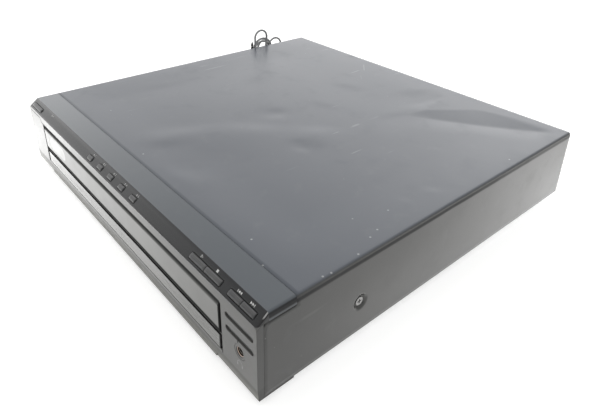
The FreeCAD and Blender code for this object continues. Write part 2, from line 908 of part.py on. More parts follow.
def key_switches():
    """A push switch behind each key, all alike."""
    switches = []
    half = "switch_size / 2"
    middle = "(key_low + key_high) / 2"
    for x, _ in STRIP_KEYS.values():
        across = (f"{x} - {half}", f"{x} + {half}", f"{middle} - {half}", f"{middle} + {half}")
        case = on_strip(*across, "-switch_foot", "-switch_top - 0.6")
        across = (f"{x} - 1.2", f"{x} + 1.2", f"{middle} - 1.2", f"{middle} + 1.2")
        tip = on_strip(*across, "-switch_top - 0.6", "-switch_top")
        switches.append(fuse(case, tip))
    for z in ("upper_slot_z", "lower_slot_z"):
        tip_y = "front + bar_back + switch_gap"
        tip = rod("y", ("slot_x", tip_y, z), "1.2", "0.8")
        case = box(
            (f"slot_x - {half}", f"{tip_y} + 0.6", f"{z} - {half}"),
            (f"slot_x + {half}", f"{tip_y} + switch_height", f"{z} + {half}"),
        )
        switches.append(fuse(tip, case))
    node("key_switches", group(*switches))


def key_board():
    """Long circuit board under the strip, clipped between the ends of the front moulding."""
    end = "half_width - bezel_wall - 0.3"
    low, high = "key_low - 2", "key_high + 2.6"
    node("key_board", on_strip(f"-({end})", end, low, high, "-switch_foot - board", "-switch_foot"))


def front_board():
    """Upright board behind the window that reaches up behind the two bar keys."""
    back = "front + bar_back + switch_gap + switch_height"
    outline = [
        ("-tray_opening_width / 2 + 4", "floor_top + 0.3"),
        ("half_width - 4", "floor_top + 0.3"),
        ("half_width - 4", "upper_slot_z + 5"),
        ("slot_x - 18", "upper_slot_z + 5"),
        ("slot_x - 18", "tray_opening_low - 1.4"),
        ("-tray_opening_width / 2 + 4", "tray_opening_low - 1.4"),
    ]
    jack = rectangle("jack_hole_x - 7.8", "jack_hole_z - 7.8", "jack_hole_x + 7.8", "jack_hole_z + 7.8")
    node("front_board", prism("xz", back, f"{back} + board", outline, jack))


def display_tube():
    """Flat glass display tube between the window and the front board."""
    y_low = "front + bezel_wall + window_gap + 1.8"
    y_high = "front + bar_back + switch_gap + switch_height"
    glass = box(("-62", y_low, "window_low + 0.6"), ("62", y_high, "window_high - 0.6"))
    tip = rod("x", ("62", f"({y_low} + {y_high}) / 2", "(window_low + window_high) / 2"), "1.1", "4")
    node("display_tube", fuse(glass, tip))


def headphone_jack():
    """Socket for a 6.35 mm plug, with a bright ring in the round hole."""
    start = "front + 0.9"
    spot = ("jack_hole_x", start, "jack_hole_z")
    ring = rod("y", spot, "jack_hole_radius - 0.3", "bezel_wall + 0.6")
    body_low = ("jack_hole_x - 7.5", f"{start} + bezel_wall + 0.6", "jack_hole_z - 7.5")
    body_high = ("jack_hole_x + 7.5", f"{start} + jack_bore_depth + 2", "jack_hole_z + 7.5")
    bore = rod("y", spot, "jack_bore_radius", "jack_bore_depth")
    cone_mouth = cone("y", spot, "jack_bore_radius + 1.4", "jack_bore_radius", "1.2")
    node("headphone_jack", cut(fuse(ring, box(body_low, body_high)), bore, cone_mouth))


# Tray and carousel


def tray_rack():
    """Rack under the tray's left side, in mesh with the pinion when the tray is shut."""
    module = size("gear_module")
    bar = rack_bar(-6, 56, module, 4.2, 0.3, size("rack_back"))
    turn = Rotation(Vector(0, 0, 1), 90)
    spot = Vector(size("rack_x"), size("pinion_y"), size("tray_floor_z") - 4.2)
    return coded(bar, Placement(spot, turn))


def loading_tray():
    """Drawer frame: floor with an open rear mouth, walls, a deck round the carousel, ribs and rack."""
    front = "tray_front_y"
    rear = "tray_front_y + tray_length"
    mouth = "front + tray_mouth_start"
    floor_shape = [
        ("-tray_half", front),
        ("tray_half", front),
        ("tray_half", rear),
        ("tray_mouth", rear),
        ("tray_mouth", mouth),
        ("-tray_mouth", mouth),
        ("-tray_mouth", rear),
        ("-tray_half", rear),
    ]
    body = new_body()
    add_pad(body, "xy", "tray_floor_z", "floor_high", floor_shape)
    deck_low = "tray_wall_top - tray_wall"
    add_pad(body, "xy", "floor_high", "tray_wall_top", floor_shape)
    add_pocket(
        body,
        "xy",
        "floor_high",
        deck_low,
        [
            ("tray_wall - tray_half", f"{front} + tray_wall"),
            ("tray_half - tray_wall", f"{front} + tray_wall"),
            ("tray_half - tray_wall", f"{rear} - tray_wall"),
            ("tray_mouth + tray_wall", f"{rear} - tray_wall"),
            ("tray_mouth + tray_wall", f"{rear} + tray_wall"),
            ("-tray_mouth - tray_wall", f"{rear} + tray_wall"),
            ("-tray_mouth - tray_wall", f"{rear} - tray_wall"),
            ("tray_wall - tray_half", f"{rear} - tray_wall"),
        ],
    )
    add_pocket(body, "xy", "floor_high", "tray_wall_top + 1", ("0", "centre_y", "turntable_radius + 1.4"))
    face_low = ("-tray_half + 4", front, "tray_floor_z - 3")
    face_high = ("tray_half - 4", f"{front} + tray_wall", "tray_front_top")
    face = box(face_low, face_high)
    rib_half = "tray_rib_width / 2"
    ribs = [
        box(
            (f"{sign} * tray_rib_x - {rib_half}", f"{front} + 6", "tray_floor_z - tray_rib_depth"),
            (f"{sign} * tray_rib_x + {rib_half}", rear, "tray_floor_z"),
        )
        for sign in (-1, 1)
    ]
    pin = rod("z", ("0", "centre_y", "tray_floor_z"), "hub_pin_radius", "turntable_high - tray_floor_z")
    pads = []
    for angle in (20, 160, 200, 270, 340):
        x = f"(turntable_radius - 16) * cos({angle} deg)"
        y = f"centre_y + (turntable_radius - 16) * sin({angle} deg)"
        pads.append(rod("z", (x, y, "floor_high - 0.5"), "4", "turntable_low - floor_high + 0.3"))
    node("loading_tray", fuse(body, face, *ribs, pin, *pads, tray_rack()))


def turntable():
    """Carousel plate with five disc wells, a slot from each well to the rim, and a belt wheel below."""
    body = new_body()
    bind(body, "Placement.Base.y", "centre_y")
    bore = ("0", "0", "hub_pin_radius + shaft_clearance")
    wheel = "turntable_low - hub_wheel_height"
    add_pad(body, "xy", wheel, "turntable_low", ("0", "0", "hub_wheel_radius"), bore)
    add_pad(body, "xy", "turntable_low", "turntable_high", ("0", "0", "turntable_radius"), bore)
    well = add_pocket(
        body, "xy", "turntable_high - well_depth", "turntable_high", ("0", "well_pitch_radius", "well_radius")
    )
    doc.recompute()
    repeat(body, well)
    half = "well_slot_width / 2"
    shape = rectangle(f"-{half}", "well_slot_start", half, "turntable_radius + 5")
    slot = add_pocket(body, "xy", "turntable_low", "turntable_high", shape)
    doc.recompute()
    repeat(body, slot)
    node("turntable", body)


def repeat(body, feature):
    """Repeats a pocket five times round the sketch's own normal."""
    pattern = body.newObject("PartDesign::PolarPattern", "five_times")
    pattern.Originals = [feature]
    pattern.Axis = (feature.Profile[0], ["N_Axis"])
    pattern.Angle = 360
    pattern.Occurrences = 5
    body.Tip = pattern
    doc.recompute()


def turntable_drive():
    """Motor under the tray's front left deck, its pulley, and the belt to the carousel's wheel."""
    x, y = "turntable_motor_x", "motor_y"
    deck_low = "tray_wall_top - tray_wall"
    case_low = "turntable_low + 0.6"
    case = rod("z", (x, y, case_low), "turntable_motor_radius", f"{deck_low} - ({case_low})")
    shaft = rod("z", (x, y, "floor_high + 0.4"), "shaft_radius / 2", f"{case_low} - floor_high - 0.4")
    node("turntable_motor", fuse(case, shaft))
    pulley_low = "floor_high + 0.6"
    wheel = rod("z", (x, y, pulley_low), "small_pulley_radius", "turntable_low - floor_high - 1")
    bore_radius = "shaft_radius / 2 + shaft_clearance"
    bore = rod("z", (x, y, pulley_low), bore_radius, "turntable_low - floor_high - 1")
    node("turntable_pulley", cut(wheel, bore))
    first = Vector(size("turntable_motor_x"), size("motor_y"), 0)
    second = Vector(0, size("centre_y"), 0)
    low = size("floor_high") + 1
    high = size("turntable_low") - 0.6
    band = belt(first, size("small_pulley_radius"), second, size("hub_wheel_radius"), low, high)
    node("turntable_belt", band)


# Mechanism base and tray drive

PINION_TEETH = 18
WHEEL_TEETH = 14
LIFT_TEETH = 12
SLED_TEETH = 12


def drive_spots():
    """Centres of the tray pinion, the belt wheel and the drive motor, left to right."""
    module = size("gear_module")
    pinion = Vector(size("rack_x") + PINION_TEETH * module / 2, size("pinion_y"), 0)
    wheel = pinion + Vector((PINION_TEETH + WHEEL_TEETH) * module / 2, 0, 0)
    motor = wheel + Vector(size("drive_motor_distance"), 0, 0)
    return pinion, wheel, motor


def mechanism_base():
    """Moulded base: plate, tray guide rails, gear posts, lift rail and guides for the rising unit."""
    plate_low = "floor_top"
    front, step, rear = "front + base_front", "front + base_step", "front + base_rear"
    shape = [
        ("-base_half_width", front),
        ("base_half_width", front),
        ("base_half_width", step),
        ("spine_half_width", step),
        ("spine_half_width", rear),
        ("-spine_half_width", rear),
        ("-spine_half_width", step),
        ("-base_half_width", step),
    ]
    body = new_body()
    add_pad(body, "xy", plate_low, "base_top", shape)
    groove_half = "tray_rib_width / 2 + rib_clearance"
    rail_top = "tray_floor_z - rib_clearance"
    groove_low = "tray_floor_z - tray_rib_depth - rib_clearance / 2"
    rails = []
    for sign in (-1, 1):
        middle = f"{sign} * tray_rib_x"
        block = box(
            (f"{middle} - {groove_half} - 2.6", front, "base_top"),
            (f"{middle} + {groove_half} + 2.6", step, rail_top),
        )
        groove = box(
            (f"{middle} - ({groove_half})", f"{front} - 1", groove_low),
            (f"{middle} + ({groove_half})", f"{step} + 1", f"{rail_top} + 1"),
        )
        rails.append(cut(block, groove))
    pinion, wheel, _ = drive_spots()
    posts = []
    for spot, underside in ((pinion, "gear_low"), (wheel, "wheel_low")):
        seat = rod("z", (str(spot.x), str(spot.y), "base_top"), "4", f"{underside} - base_top - 0.3")
        shaft = rod("z", (str(spot.x), str(spot.y), "base_top"), "shaft_radius", "gear_high - base_top")
        posts.append(fuse(seat, shaft))
    rail = box(
        ("-spine_half_width + 2", "slider_face", "base_top"),
        ("spine_half_width - 2", "slider_back", "slider_low - 0.3"),
    )
    guides = []
    for sign in (-1, 1):
        for y in ("front + tub_front + 20", "front + tub_rear - 30"):
            inner = "tub_half_width + 0.4"
            ends = (inner, f"{inner} + 3") if sign > 0 else (f"-({inner}) - 3", f"-({inner})")
            guides.append(box((ends[0], y, "base_top"), (ends[1], f"{y} + 10", "tub_high + 3")))
    node("mechanism_base", fuse(body, *rails, *posts, rail, *guides))


def tray_drive():
    """Loading motor with pulley, belt, belt wheel with its small gear, and the tray pinion."""
    pinion, wheel, motor = drive_spots()
    low, high = size("gear_low"), size("gear_high")
    wheel_low = size("wheel_low")
    module = size("gear_module")
    bore = size("shaft_radius") + size("shaft_clearance")
    gear = involute_gear(PINION_TEETH, module, high - low, 0.3, bore, 0)
    node("tray_pinion", coded(gear, Placement(pinion + Vector(0, 0, low), Rotation())))
    half_step = 180 / WHEEL_TEETH
    small = involute_gear(WHEEL_TEETH, module, high - low, 0.3, bore, half_step)
    disc = Part.makeCylinder(size("belt_wheel_radius"), low - 0.4 - wheel_low)
    disc = disc.cut(Part.makeCylinder(bore, low - 0.4 - wheel_low))
    collar = Part.makeCylinder(5, 0.4).cut(Part.makeCylinder(bore, 0.4))
    small.translate(Vector(0, 0, low - wheel_low))
    collar.translate(Vector(0, 0, low - wheel_low - 0.4))
    stack = small.fuse([disc, collar]).removeSplitter()
    node("belt_wheel", coded(stack, Placement(wheel + Vector(0, 0, wheel_low), Rotation())))
    x, y = str(motor.x), str(motor.y)
    case = rod("z", (x, y, "base_top"), "drive_motor_radius", "wheel_low - 1.5 - base_top")
    shaft = rod("z", (x, y, "wheel_low - 1.5"), "shaft_radius / 2", "gear_low - wheel_low + 2.5")
    node("loading_motor", fuse(case, shaft))
    pulley = rod("z", (x, y, "wheel_low - 0.5"), "motor_pulley_radius", "gear_low - wheel_low + 0.5")
    hole_radius = "shaft_radius / 2 + shaft_clearance"
    hole = rod("z", (x, y, "wheel_low - 0.5"), hole_radius, "gear_low - wheel_low + 0.5")
    node("motor_pulley", cut(pulley, hole))
    radii = (size("belt_wheel_radius"), size("motor_pulley_radius"))
    band = belt(wheel, radii[0], motor, radii[1], wheel_low + 0.8, low - 1)
    node("drive_belt", band)


# Rising disc drive unit


def base_frame():
    """Tub that carries the spindle motor, the rods and the sled, with lift pins on its front."""
    wall = "tub_wall"
    front, rear = "front + tub_front", "front + tub_rear"
    outside = rectangle("-tub_half_width", front, "tub_half_width", rear)
    body = new_body()
    add_pad(body, "xy", "tub_low", "tub_high", outside)
    inner_half = f"tub_half_width - {wall}"
    inside = rectangle(f"-({inner_half})", f"{front} + {wall}", inner_half, f"{rear} - {wall}")
    add_pocket(body, "xy", f"tub_low + {wall}", "tub_high + 1", inside)
    rod_y = "front + sled_start - 6"
    holders = []
    for sign in (-1, 1):
        edges = ("rod_x - 2.6", f"tub_half_width - {wall} + 0.5")
        low, high = edges if sign > 0 else (f"-({edges[1]})", f"-({edges[0]})")
        block = box((low, rod_y, f"tub_low + {wall} - 0.5"), (high, f"{rod_y} + 4", "tub_high - 1.6"))
        holders.append(block)
    holes = []
    for sign in (-1, 1):
        spot = (f"{sign} * rod_x", rod_y, "rod_z")
        holes.append(rod("y", spot, "rod_radius + 0.02", f"{rear} - ({rod_y}) - 0.6"))
    pins = [
        rod(
            "y",
            (f"{sign} * lift_pin_x", "slider_face + 0.2", "lift_pin_z"),
            "lift_pin_radius",
            "front + tub_front - slider_face",
        )
        for sign in (-1, 1)
    ]
    node("base_frame", cut(fuse(body, *holders, *pins), *holes))


def spindle():
    """Spindle motor on the tub's floor, and the hub that centres and turns the disc."""
    floor = "tub_low + tub_wall"
    case = rod("z", ("0", "spindle_y", floor), "spindle_motor_radius", "spindle_motor_height")
    top = f"{floor} + spindle_motor_height"
    shaft = rod("z", ("0", "spindle_y", top), "shaft_radius / 2", "4.6")
    node("spindle_motor", fuse(case, shaft))
    flange = rod("z", ("0", "spindle_y", f"{top} + 0.8"), "hub_radius", f"tub_high + 2 - ({top} + 0.8)")
    nose = cone("z", ("0", "spindle_y", "tub_high + 2"), "hub_cone_radius", "hub_cone_radius - 1.6", "1.6")
    hole = rod("z", ("0", "spindle_y", top), "shaft_radius / 2 + shaft_clearance", "4.8")
    node("spindle_hub", cut(fuse(flange, nose), hole))


def sled():
    """Pickup sled on two rods, its lens, and the motor gear that drives its rack."""
    start = "front + sled_start"
    end = f"{start} + sled_length"
    low, high = "rod_z - 3.2", "tub_high - 0.5"
    body = box(("-sled_half_width", start, low), ("sled_half_width", end, high))
    rod_hole = "rod_radius + shaft_clearance"
    rounding = rod("y", ("-rod_x", f"{start} - 1", "rod_z"), rod_hole, "sled_length + 2")
    open_side = box(
        ("rod_x - rod_radius - shaft_clearance", f"{start} - 1", "rod_z - rod_radius - shaft_clearance"),
        ("sled_half_width + 1", f"{end} + 1", "rod_z + rod_radius + shaft_clearance"),
    )
    recess = box(("-8", f"{start} + 1.5", f"{high} - 1.5"), ("8", f"{start} + 15", f"{high} + 1"))
    gear_x = size("sled_gear_x")
    module = size("sled_module")
    rack = rack_bar(-12, 1, module, 3.3, 0.2, 4)
    spot = Vector(gear_x - SLED_TEETH * module / 2, size("sled_gear_y"), size("rod_z") - 3.2 - 3.3)
    bar = coded(rack, Placement(spot, Rotation(Vector(0, 0, 1), 90)))
    node("pickup_sled", fuse(cut(body, rounding, open_side, recess), bar))
    lens_y = f"{start} + 7.2"
    holder = box(("-5.2", f"{lens_y} - 5.2", f"{high} - 1.5"), ("5.2", f"{lens_y} + 5.2", f"{high} - 0.2"))
    lens = rod("z", ("0", lens_y, f"{high} - 0.2"), "2.4", "0.5")
    node("pickup_lens", fuse(holder, lens))
    rods = []
    for sign in (-1, 1):
        rod_start = (f"{sign} * rod_x", "front + sled_start - 5.9", "rod_z")
        rods.append(rod("y", rod_start, "rod_radius", "tub_rear - sled_start + 5.2"))
    node("guide_rods", group(*rods))
    x, y = "sled_gear_x", "sled_gear_y"
    case = rod("z", (x, y, "tub_low + tub_wall"), "sled_motor_radius", "rod_z - 7.1 - tub_low - tub_wall")
    shaft = rod("z", (x, y, "rod_z - 7.1"), "shaft_radius / 2", "3.6")
    node("sled_motor", fuse(case, shaft))
    bore = size("shaft_radius") / 2 + size("shaft_clearance")
    gear = involute_gear(SLED_TEETH, module, 3, 0.2, bore, 0)
    place = Placement(Vector(gear_x, size("sled_gear_y"), size("rod_z") - 6.5), Rotation())
    node("sled_gear", coded(gear, place))


def lift():
    """Slider whose sloped slots lift the tub's pins, with the motor gear that drives its rack."""
    plate = box(
        ("-lift_pin_x - lift_run - 6", "slider_face", "slider_low"),
        ("lift_pin_x + 6", "slider_back", "lift_pin_z + lift_travel + 4"),
    )
    radius = size("lift_pin_radius") + size("shaft_clearance")
    rise, run = size("lift_travel"), size("lift_run")
    depth = size("slider_thickness") + 2
    y = size("slider_face") - 1
    slots = []
    for sign in (-1, 1):
        low = Vector(sign * size("lift_pin_x"), y, size("lift_pin_z"))
        high = low + Vector(-run, 0, rise)
        along = (high - low).normalize()
        across = Vector(-along.z, 0, along.x) * radius
        corners = [low + across, low - across, high - across, high + across]
        web = Part.Face(Part.makePolygon(corners + [corners[0]])).extrude(Vector(0, depth, 0))
        ends = [Part.makeCylinder(radius, depth, spot, Vector(0, 1, 0)) for spot in (low, high)]
        slots.append(coded(web.fuse(ends)))
    module = size("gear_module")
    gear_y = size("lift_gear_y")
    pitch_y = gear_y + LIFT_TEETH * module / 2
    rack = rack_bar(-8, 2, module, 5, 0.3, size("slider_face") - pitch_y)
    spot = Vector(0, pitch_y, size("slider_low"))
    bar = coded(rack, Placement(spot, Rotation()))
    node("lift_slider", fuse(cut(plate, *slots), bar))
    case = rod("z", ("0", "lift_gear_y", "base_top"), "lift_motor_radius", "lift_motor_height")
    shaft_start = "base_top + lift_motor_height"
    shaft_length = f"slider_low + 5 - ({shaft_start})"
    shaft = rod("z", ("0", "lift_gear_y", shaft_start), "shaft_radius / 2", shaft_length)
    node("lift_motor", fuse(case, shaft))
    bore = size("shaft_radius") / 2 + size("shaft_clearance")
    gear = involute_gear(LIFT_TEETH, module, 4.4, 0.3, bore, 90)
    node("lift_gear", coded(gear, Placement(Vector(0, gear_y, size("slider_low") + 0.3), Rotation())))


# Clamp over the disc


def clamp():
    """Steel bridge over the carousel, and the clamping puck that hangs loose in its hole."""
    half, top = "bridge_half_width", "bridge_z + bridge_sheet"
    low_y = "spindle_y - bridge_depth / 2"
    high_y = "spindle_y + bridge_depth / 2"
    shape = [
        (f"-{half} - 4", "floor_top"),
        (f"-{half} + bridge_sheet", "floor_top"),
        (f"-{half} + bridge_sheet", "bridge_z"),
        (f"{half} - bridge_sheet", "bridge_z"),
        (f"{half} - bridge_sheet", "floor_top"),
        (f"{half} + 4", "floor_top"),
        (f"{half} + 4", "floor_top + bridge_sheet"),
        (half, "floor_top + bridge_sheet"),
        (half, top),
        (f"-{half}", top),
        (f"-{half}", "floor_top + bridge_sheet"),
        (f"-{half} - 4", "floor_top + bridge_sheet"),
    ]
    body = prism("xz", low_y, high_y, shape)
    hole = rod("z", ("0", "spindle_y", "bridge_z - 1"), "clamper_radius + 1", "bridge_sheet + 2")
    node("clamp_bridge", cut(body, hole))
    puck = rod("z", ("0", "spindle_y", "clamper_low"), "clamper_radius", f"{top} + 0.4 - clamper_low")
    flange = rod("z", ("0", "spindle_y", f"{top} + 0.3"), "clamper_flange", "1.6")
    recess = rod("z", ("0", "spindle_y", "clamper_low - 1"), "hub_cone_radius + 0.6", "3")
    node("clamper", cut(fuse(puck, flange), recess))


# Boards


def plain_board(side):
    return box(
        (f"{side}_board_left", f"{side}_board_front", "board_z"),
        (f"{side}_board_right", f"{side}_board_rear", "board_top"),
    )


# Chips as (x, y, width, depth) and capacitors as (x, y, radius, height), from each board's front left corner

CHIPS = [
    (20, 60, 28, 28),
    (62, 66, 20, 20),
    (24, 110, 14, 22),
    (66, 112, 18, 12),
    (30, 150, 12, 18),
]
MAIN_CAPACITORS = [
    (98, 60, 4, 11),
    (98, 74, 4, 11),
    (96, 150, 5, 14),
    (60, 158, 4, 11),
    (84, 180, 4, 11),
]
SUPPLY_CAPACITORS = [
    (24, 30, 9, 17),
    (86, 34, 5, 15),
    (100, 34, 5, 15),
    (86, 52, 5, 15),
]
CHIP_HEIGHT = 2.4


def boards():
    """Main board with its chips and capacitors, supply board with its transformer, and the ribbon."""
    node("main_board", plain_board("main"))
    node("power_board", plain_board("power"))
    near = "main_board_front"
    parts = []
    for x, y, width, depth in CHIPS:
        low = (f"main_board_left + {x}", f"{near} + {y}", "board_top")
        high = (f"main_board_left + {x + width}", f"{near} + {y + depth}", f"board_top + {CHIP_HEIGHT}")
        parts.append(box(low, high))
    for x, y, radius, height in MAIN_CAPACITORS:
        spot = (f"main_board_left + {x}", f"{near} + {y}", "board_top")
        parts.append(rod("z", spot, str(radius), str(height)))
    supply = "power_board_front"
    for x, y, radius, height in SUPPLY_CAPACITORS:
        spot = (f"power_board_left + {x}", f"{supply} + {y}", "board_top")
        parts.append(rod("z", spot, str(radius), str(height)))
    node("board_chips", group(*parts))
    core_low = ("power_board_left + 44", f"{supply} + 60", "board_top")
    core_high = ("power_board_left + 84", f"{supply} + 94", "board_top + 17")
    coil_low = ("power_board_left + 38", f"{supply} + 67", "board_top + 3")
    coil_high = ("power_board_left + 90", f"{supply} + 87", "board_top + 14")
    node("power_transformer", fuse(box(core_low, core_high), box(coil_low, coil_high)))
    plug_y = "front + bar_back + switch_gap + switch_height + board"
    ribbon = [
        (f"{plug_y} + 0.2", "board_top + 4"),
        (f"{plug_y} + 5", "board_top + 4"),
        (f"{near} - 4", "board_top + 4"),
        (f"{near} + 8", "board_top + 0.1"),
        (f"{near} + 12", "board_top + 0.1"),
        (f"{near} + 12", "board_top + 0.7"),
        (f"{near} + 8", "board_top + 0.7"),
        (f"{near} - 4", "board_top + 4.6"),
        (f"{plug_y} + 0.2", "board_top + 4.6"),
    ]
    node("ribbon_cable", prism("yz", "main_board_left + 14", "main_board_left + 40", ribbon))


def av_jacks():
    """Two rows of five phono sockets through the back, each a sleeve on an insulating block."""
    pieces = []
    for index in range(5):
        x = f"main_board_left + 18 + {index} * jack_pitch"
        inner = "rear_face - chassis_wall - 0.1"
        block = box((f"{x} - 6", f"{inner} - 9", "board_top"), (f"{x} + 6", inner, "jack_row_high + 7"))
        parts = []
        for row in ("jack_row_low", "jack_row_high"):
            collar = rod("y", (x, f"{inner} - 0.5", row), "jack_radius + jack_collar", "chassis_wall + 0.6")
            sleeve = rod("y", (x, "rear_face - 0.5", row), "jack_radius", "jack_reach + 0.5")
            bore = rod("y", (x, "rear_face + 1", row), "jack_radius - jack_wall", "jack_reach")
            core = rod("y", (x, "rear_face - 0.5", row), "jack_radius - jack_wall / 2", "4")
            pin_hole = rod("y", (x, "rear_face + 0.5", row), "jack_pin_hole", "6")
            parts += [collar, cut(sleeve, bore), cut(core, pin_hole)]
        pieces.append(fuse(block, *parts))
    node("av_jacks", group(*pieces))


# Mains cord: strain relief, lead to the hank, the tied hank, and the plug

FLOOR_Z = 1.6
HANK_X = -219.6
HANK_Y = 123.5
HANK_STEP = 3.7
WAIST_Z = 44
WAIST_HALF = 3.8
WAIST_LEAN = 0.5
PLUG_Z = 6.1

LEAD_ROUTE = [
    (-172, 231, 24),
    (-175, 244, 17),
    (-181, 254, 8),
    (-192, 262, 2.2),
    (-206, 266, FLOOR_Z),
    (-220, 263, FLOOR_Z),
    (-230, 253, FLOOR_Z),
    (-235, 239, FLOOR_Z),
    (-235.5, 223, FLOOR_Z),
    (-232, 206, FLOOR_Z),
    (-227, 189, FLOOR_Z),
    (-222.5, 171, FLOOR_Z),
    (-220, 154, FLOOR_Z),
    (HANK_X, 139, FLOOR_Z),
]

TAIL_ROUTE = [
    (-238.1, 109, FLOOR_Z),
    (-240, 96, FLOOR_Z),
    (-243.5, 84, 2.3),
    (-246.8, 72, 4.2),
    (-248.5, 60, PLUG_Z),
    (-248.5, 48, PLUG_Z),
]


def route_wire(points, report):
    """Straight runs joined by tangent arcs, each as large as its two runs allow."""
    points = [Vector(*p) for p in points]
    edges, last, radii = [], points[0], []
    for before, corner, after in zip(points, points[1:], points[2:]):
        back, ahead = before - corner, after - corner
        shorter = min(back.Length, ahead.Length)
        back.normalize()
        ahead.normalize()
        half_turn = (math.pi - math.acos(max(-1, min(1, back * ahead)))) / 2
        radii.append(0.45 * shorter / math.tan(half_turn))
        start, end = corner + back * (0.45 * shorter), corner + ahead * (0.45 * shorter)
        to_centre = (back + ahead).normalize() * (radii[-1] / math.cos(half_turn))
        middle = corner + to_centre - (back + ahead).normalize() * radii[-1]
        edges.append(Part.LineSegment(last, start).toShape())
        edges.append(Part.Arc(start, middle, end).toShape())
        last = end
    edges.append(Part.LineSegment(last, points[-1]).toShape())
    print(report, "bend radii", [round(r, 1) for r in radii])
    return Part.Wire(edges)


def tube(wire, report):
    """The cord's round section carried along a wire, with its volume held against section times length."""
    radius = size("cord_diameter") / 2
    start = wire.Edges[0].firstVertex().Point
    direction = wire.Edges[0].tangentAt(wire.Edges[0].FirstParameter)
    ring = Part.Wire(Part.Circle(start, direction, radius).toShape())
    solid = wire.makePipeShell([ring], True, False)
    expected = math.pi * radius**2 * wire.Length
    share = round(solid.Volume / expected, 4)
    print(report, "length", round(wire.Length, 1), "volume over section times length", share)
    return solid


def arc_between(start, corner, end):
    """The arc from start to end whose end tangents meet at the corner."""
    middle = (start + end) * 0.5
    rise = corner - middle
    half_chord = (end - start).Length / 2
    if rise.Length < 1e-6 * half_chord:
        return Part.LineSegment(start, end).toShape()
    half_turn = math.atan(rise.Length / half_chord)
    crown = middle + rise.normalize() * (half_chord * math.tan(half_turn / 2))
    return Part.Arc(start, crown, end).toShape()


def biarc(start, start_way, end, end_way):
    """Two arcs that leave start along one direction and reach end along another, meeting smoothly."""
    gap = end - start
    a = 2 * (1 - start_way * end_way)
    b = gap * (start_way + end_way)
    c = gap * gap
    reach = c / (2 * b) if a < 1e-9 else (math.sqrt(b * b + a * c) - b) / a
    first_corner = start + start_way * reach
    second_corner = end - end_way * reach
    joint = (first_corner + second_corner) * 0.5
    return [arc_between(start, first_corner, joint), arc_between(joint, second_corner, end)]


def leaned(angle):
    """Two unit directions in the loop's plane: up, leaned towards the back by an angle, and across it."""
    lean = math.radians(angle)
    return Vector(0, math.sin(lean), math.cos(lean)), Vector(0, math.cos(lean), -math.sin(lean))


# Each loop's lean towards the back in degrees, upper reach, upper fold radius and lower fold radius
HANK_LOOPS = [
    (2, 47, 10.7, 11),
    (14, 28, 16.5, 10.4),
    (22, 24, 15.5, 11.6),
    (56, 43, 11.5, 10.6),
    (38, 30, 12, 11.2),
]


def hank_wire():
    """One unbroken line: up each loop's front side, over its top, down the back and one step outward."""
    up, back = Vector(0, 0, 1), Vector(0, 1, 0)
    lead = back * size("cord_diameter")
    x = HANK_X
    bottom = Vector(x, HANK_Y, FLOOR_Z)
    edges = [Part.LineSegment(bottom + lead, bottom).toShape()]
    for index, (lean, reach, top_radius, low_radius) in enumerate(HANK_LOOPS):
        out, across = leaned(lean)
        waist_out, waist_across = leaned(lean * WAIST_LEAN)
        waist = Vector(x, HANK_Y, WAIST_Z)
        waist_front = waist - waist_across * WAIST_HALF
        waist_back = waist + waist_across * WAIST_HALF
        low_front = bottom + up * low_radius - back * low_radius
        edges.append(arc_between(bottom, bottom - back * low_radius, low_front))
        edges += biarc(low_front, up, waist_front, waist_out)
        fold = waist + out * reach
        crown = fold + out * top_radius
        front_side, back_side = fold - across * top_radius, fold + across * top_radius
        edges += biarc(waist_front, waist_out, front_side, out)
        edges.append(arc_between(front_side, crown - across * top_radius, crown))
        edges.append(arc_between(crown, crown + across * top_radius, back_side))
        edges += biarc(back_side, out * -1, waist_back, waist_out * -1)
        x -= HANK_STEP
        low_radius = HANK_LOOPS[min(index + 1, len(HANK_LOOPS) - 1)][3]
        bottom = Vector(x, HANK_Y, FLOOR_Z)
        low_back = bottom + up * low_radius + back * low_radius
        edges += biarc(waist_back, waist_out * -1, low_back, up * -1)
        edges.append(arc_between(low_back, bottom + back * low_radius, bottom))
    edges.append(Part.LineSegment(bottom, bottom - lead).toShape())
    radii = [edge.Curve.Radius for edge in edges if hasattr(edge.Curve, "Radius")]
    print("hank least bend radius", round(min(radii), 1))
    return Part.Wire(edges)


def least_self_gap(wire):
    """The least clear distance between stretches of the tube more than four diameters apart along it."""
    step = 1.2
    points = wire.discretize(int(wire.Length / step))
    skip = int(4 * size("cord_diameter") / step)
    least = 1e9
    for i, point in enumerate(points):
        for other in points[i + skip :]:
            if abs(other.x - point.x) < least and abs(other.z - point.z) < least:
                least = min(least, (other - point).Length)
    return least - size("cord_diameter")


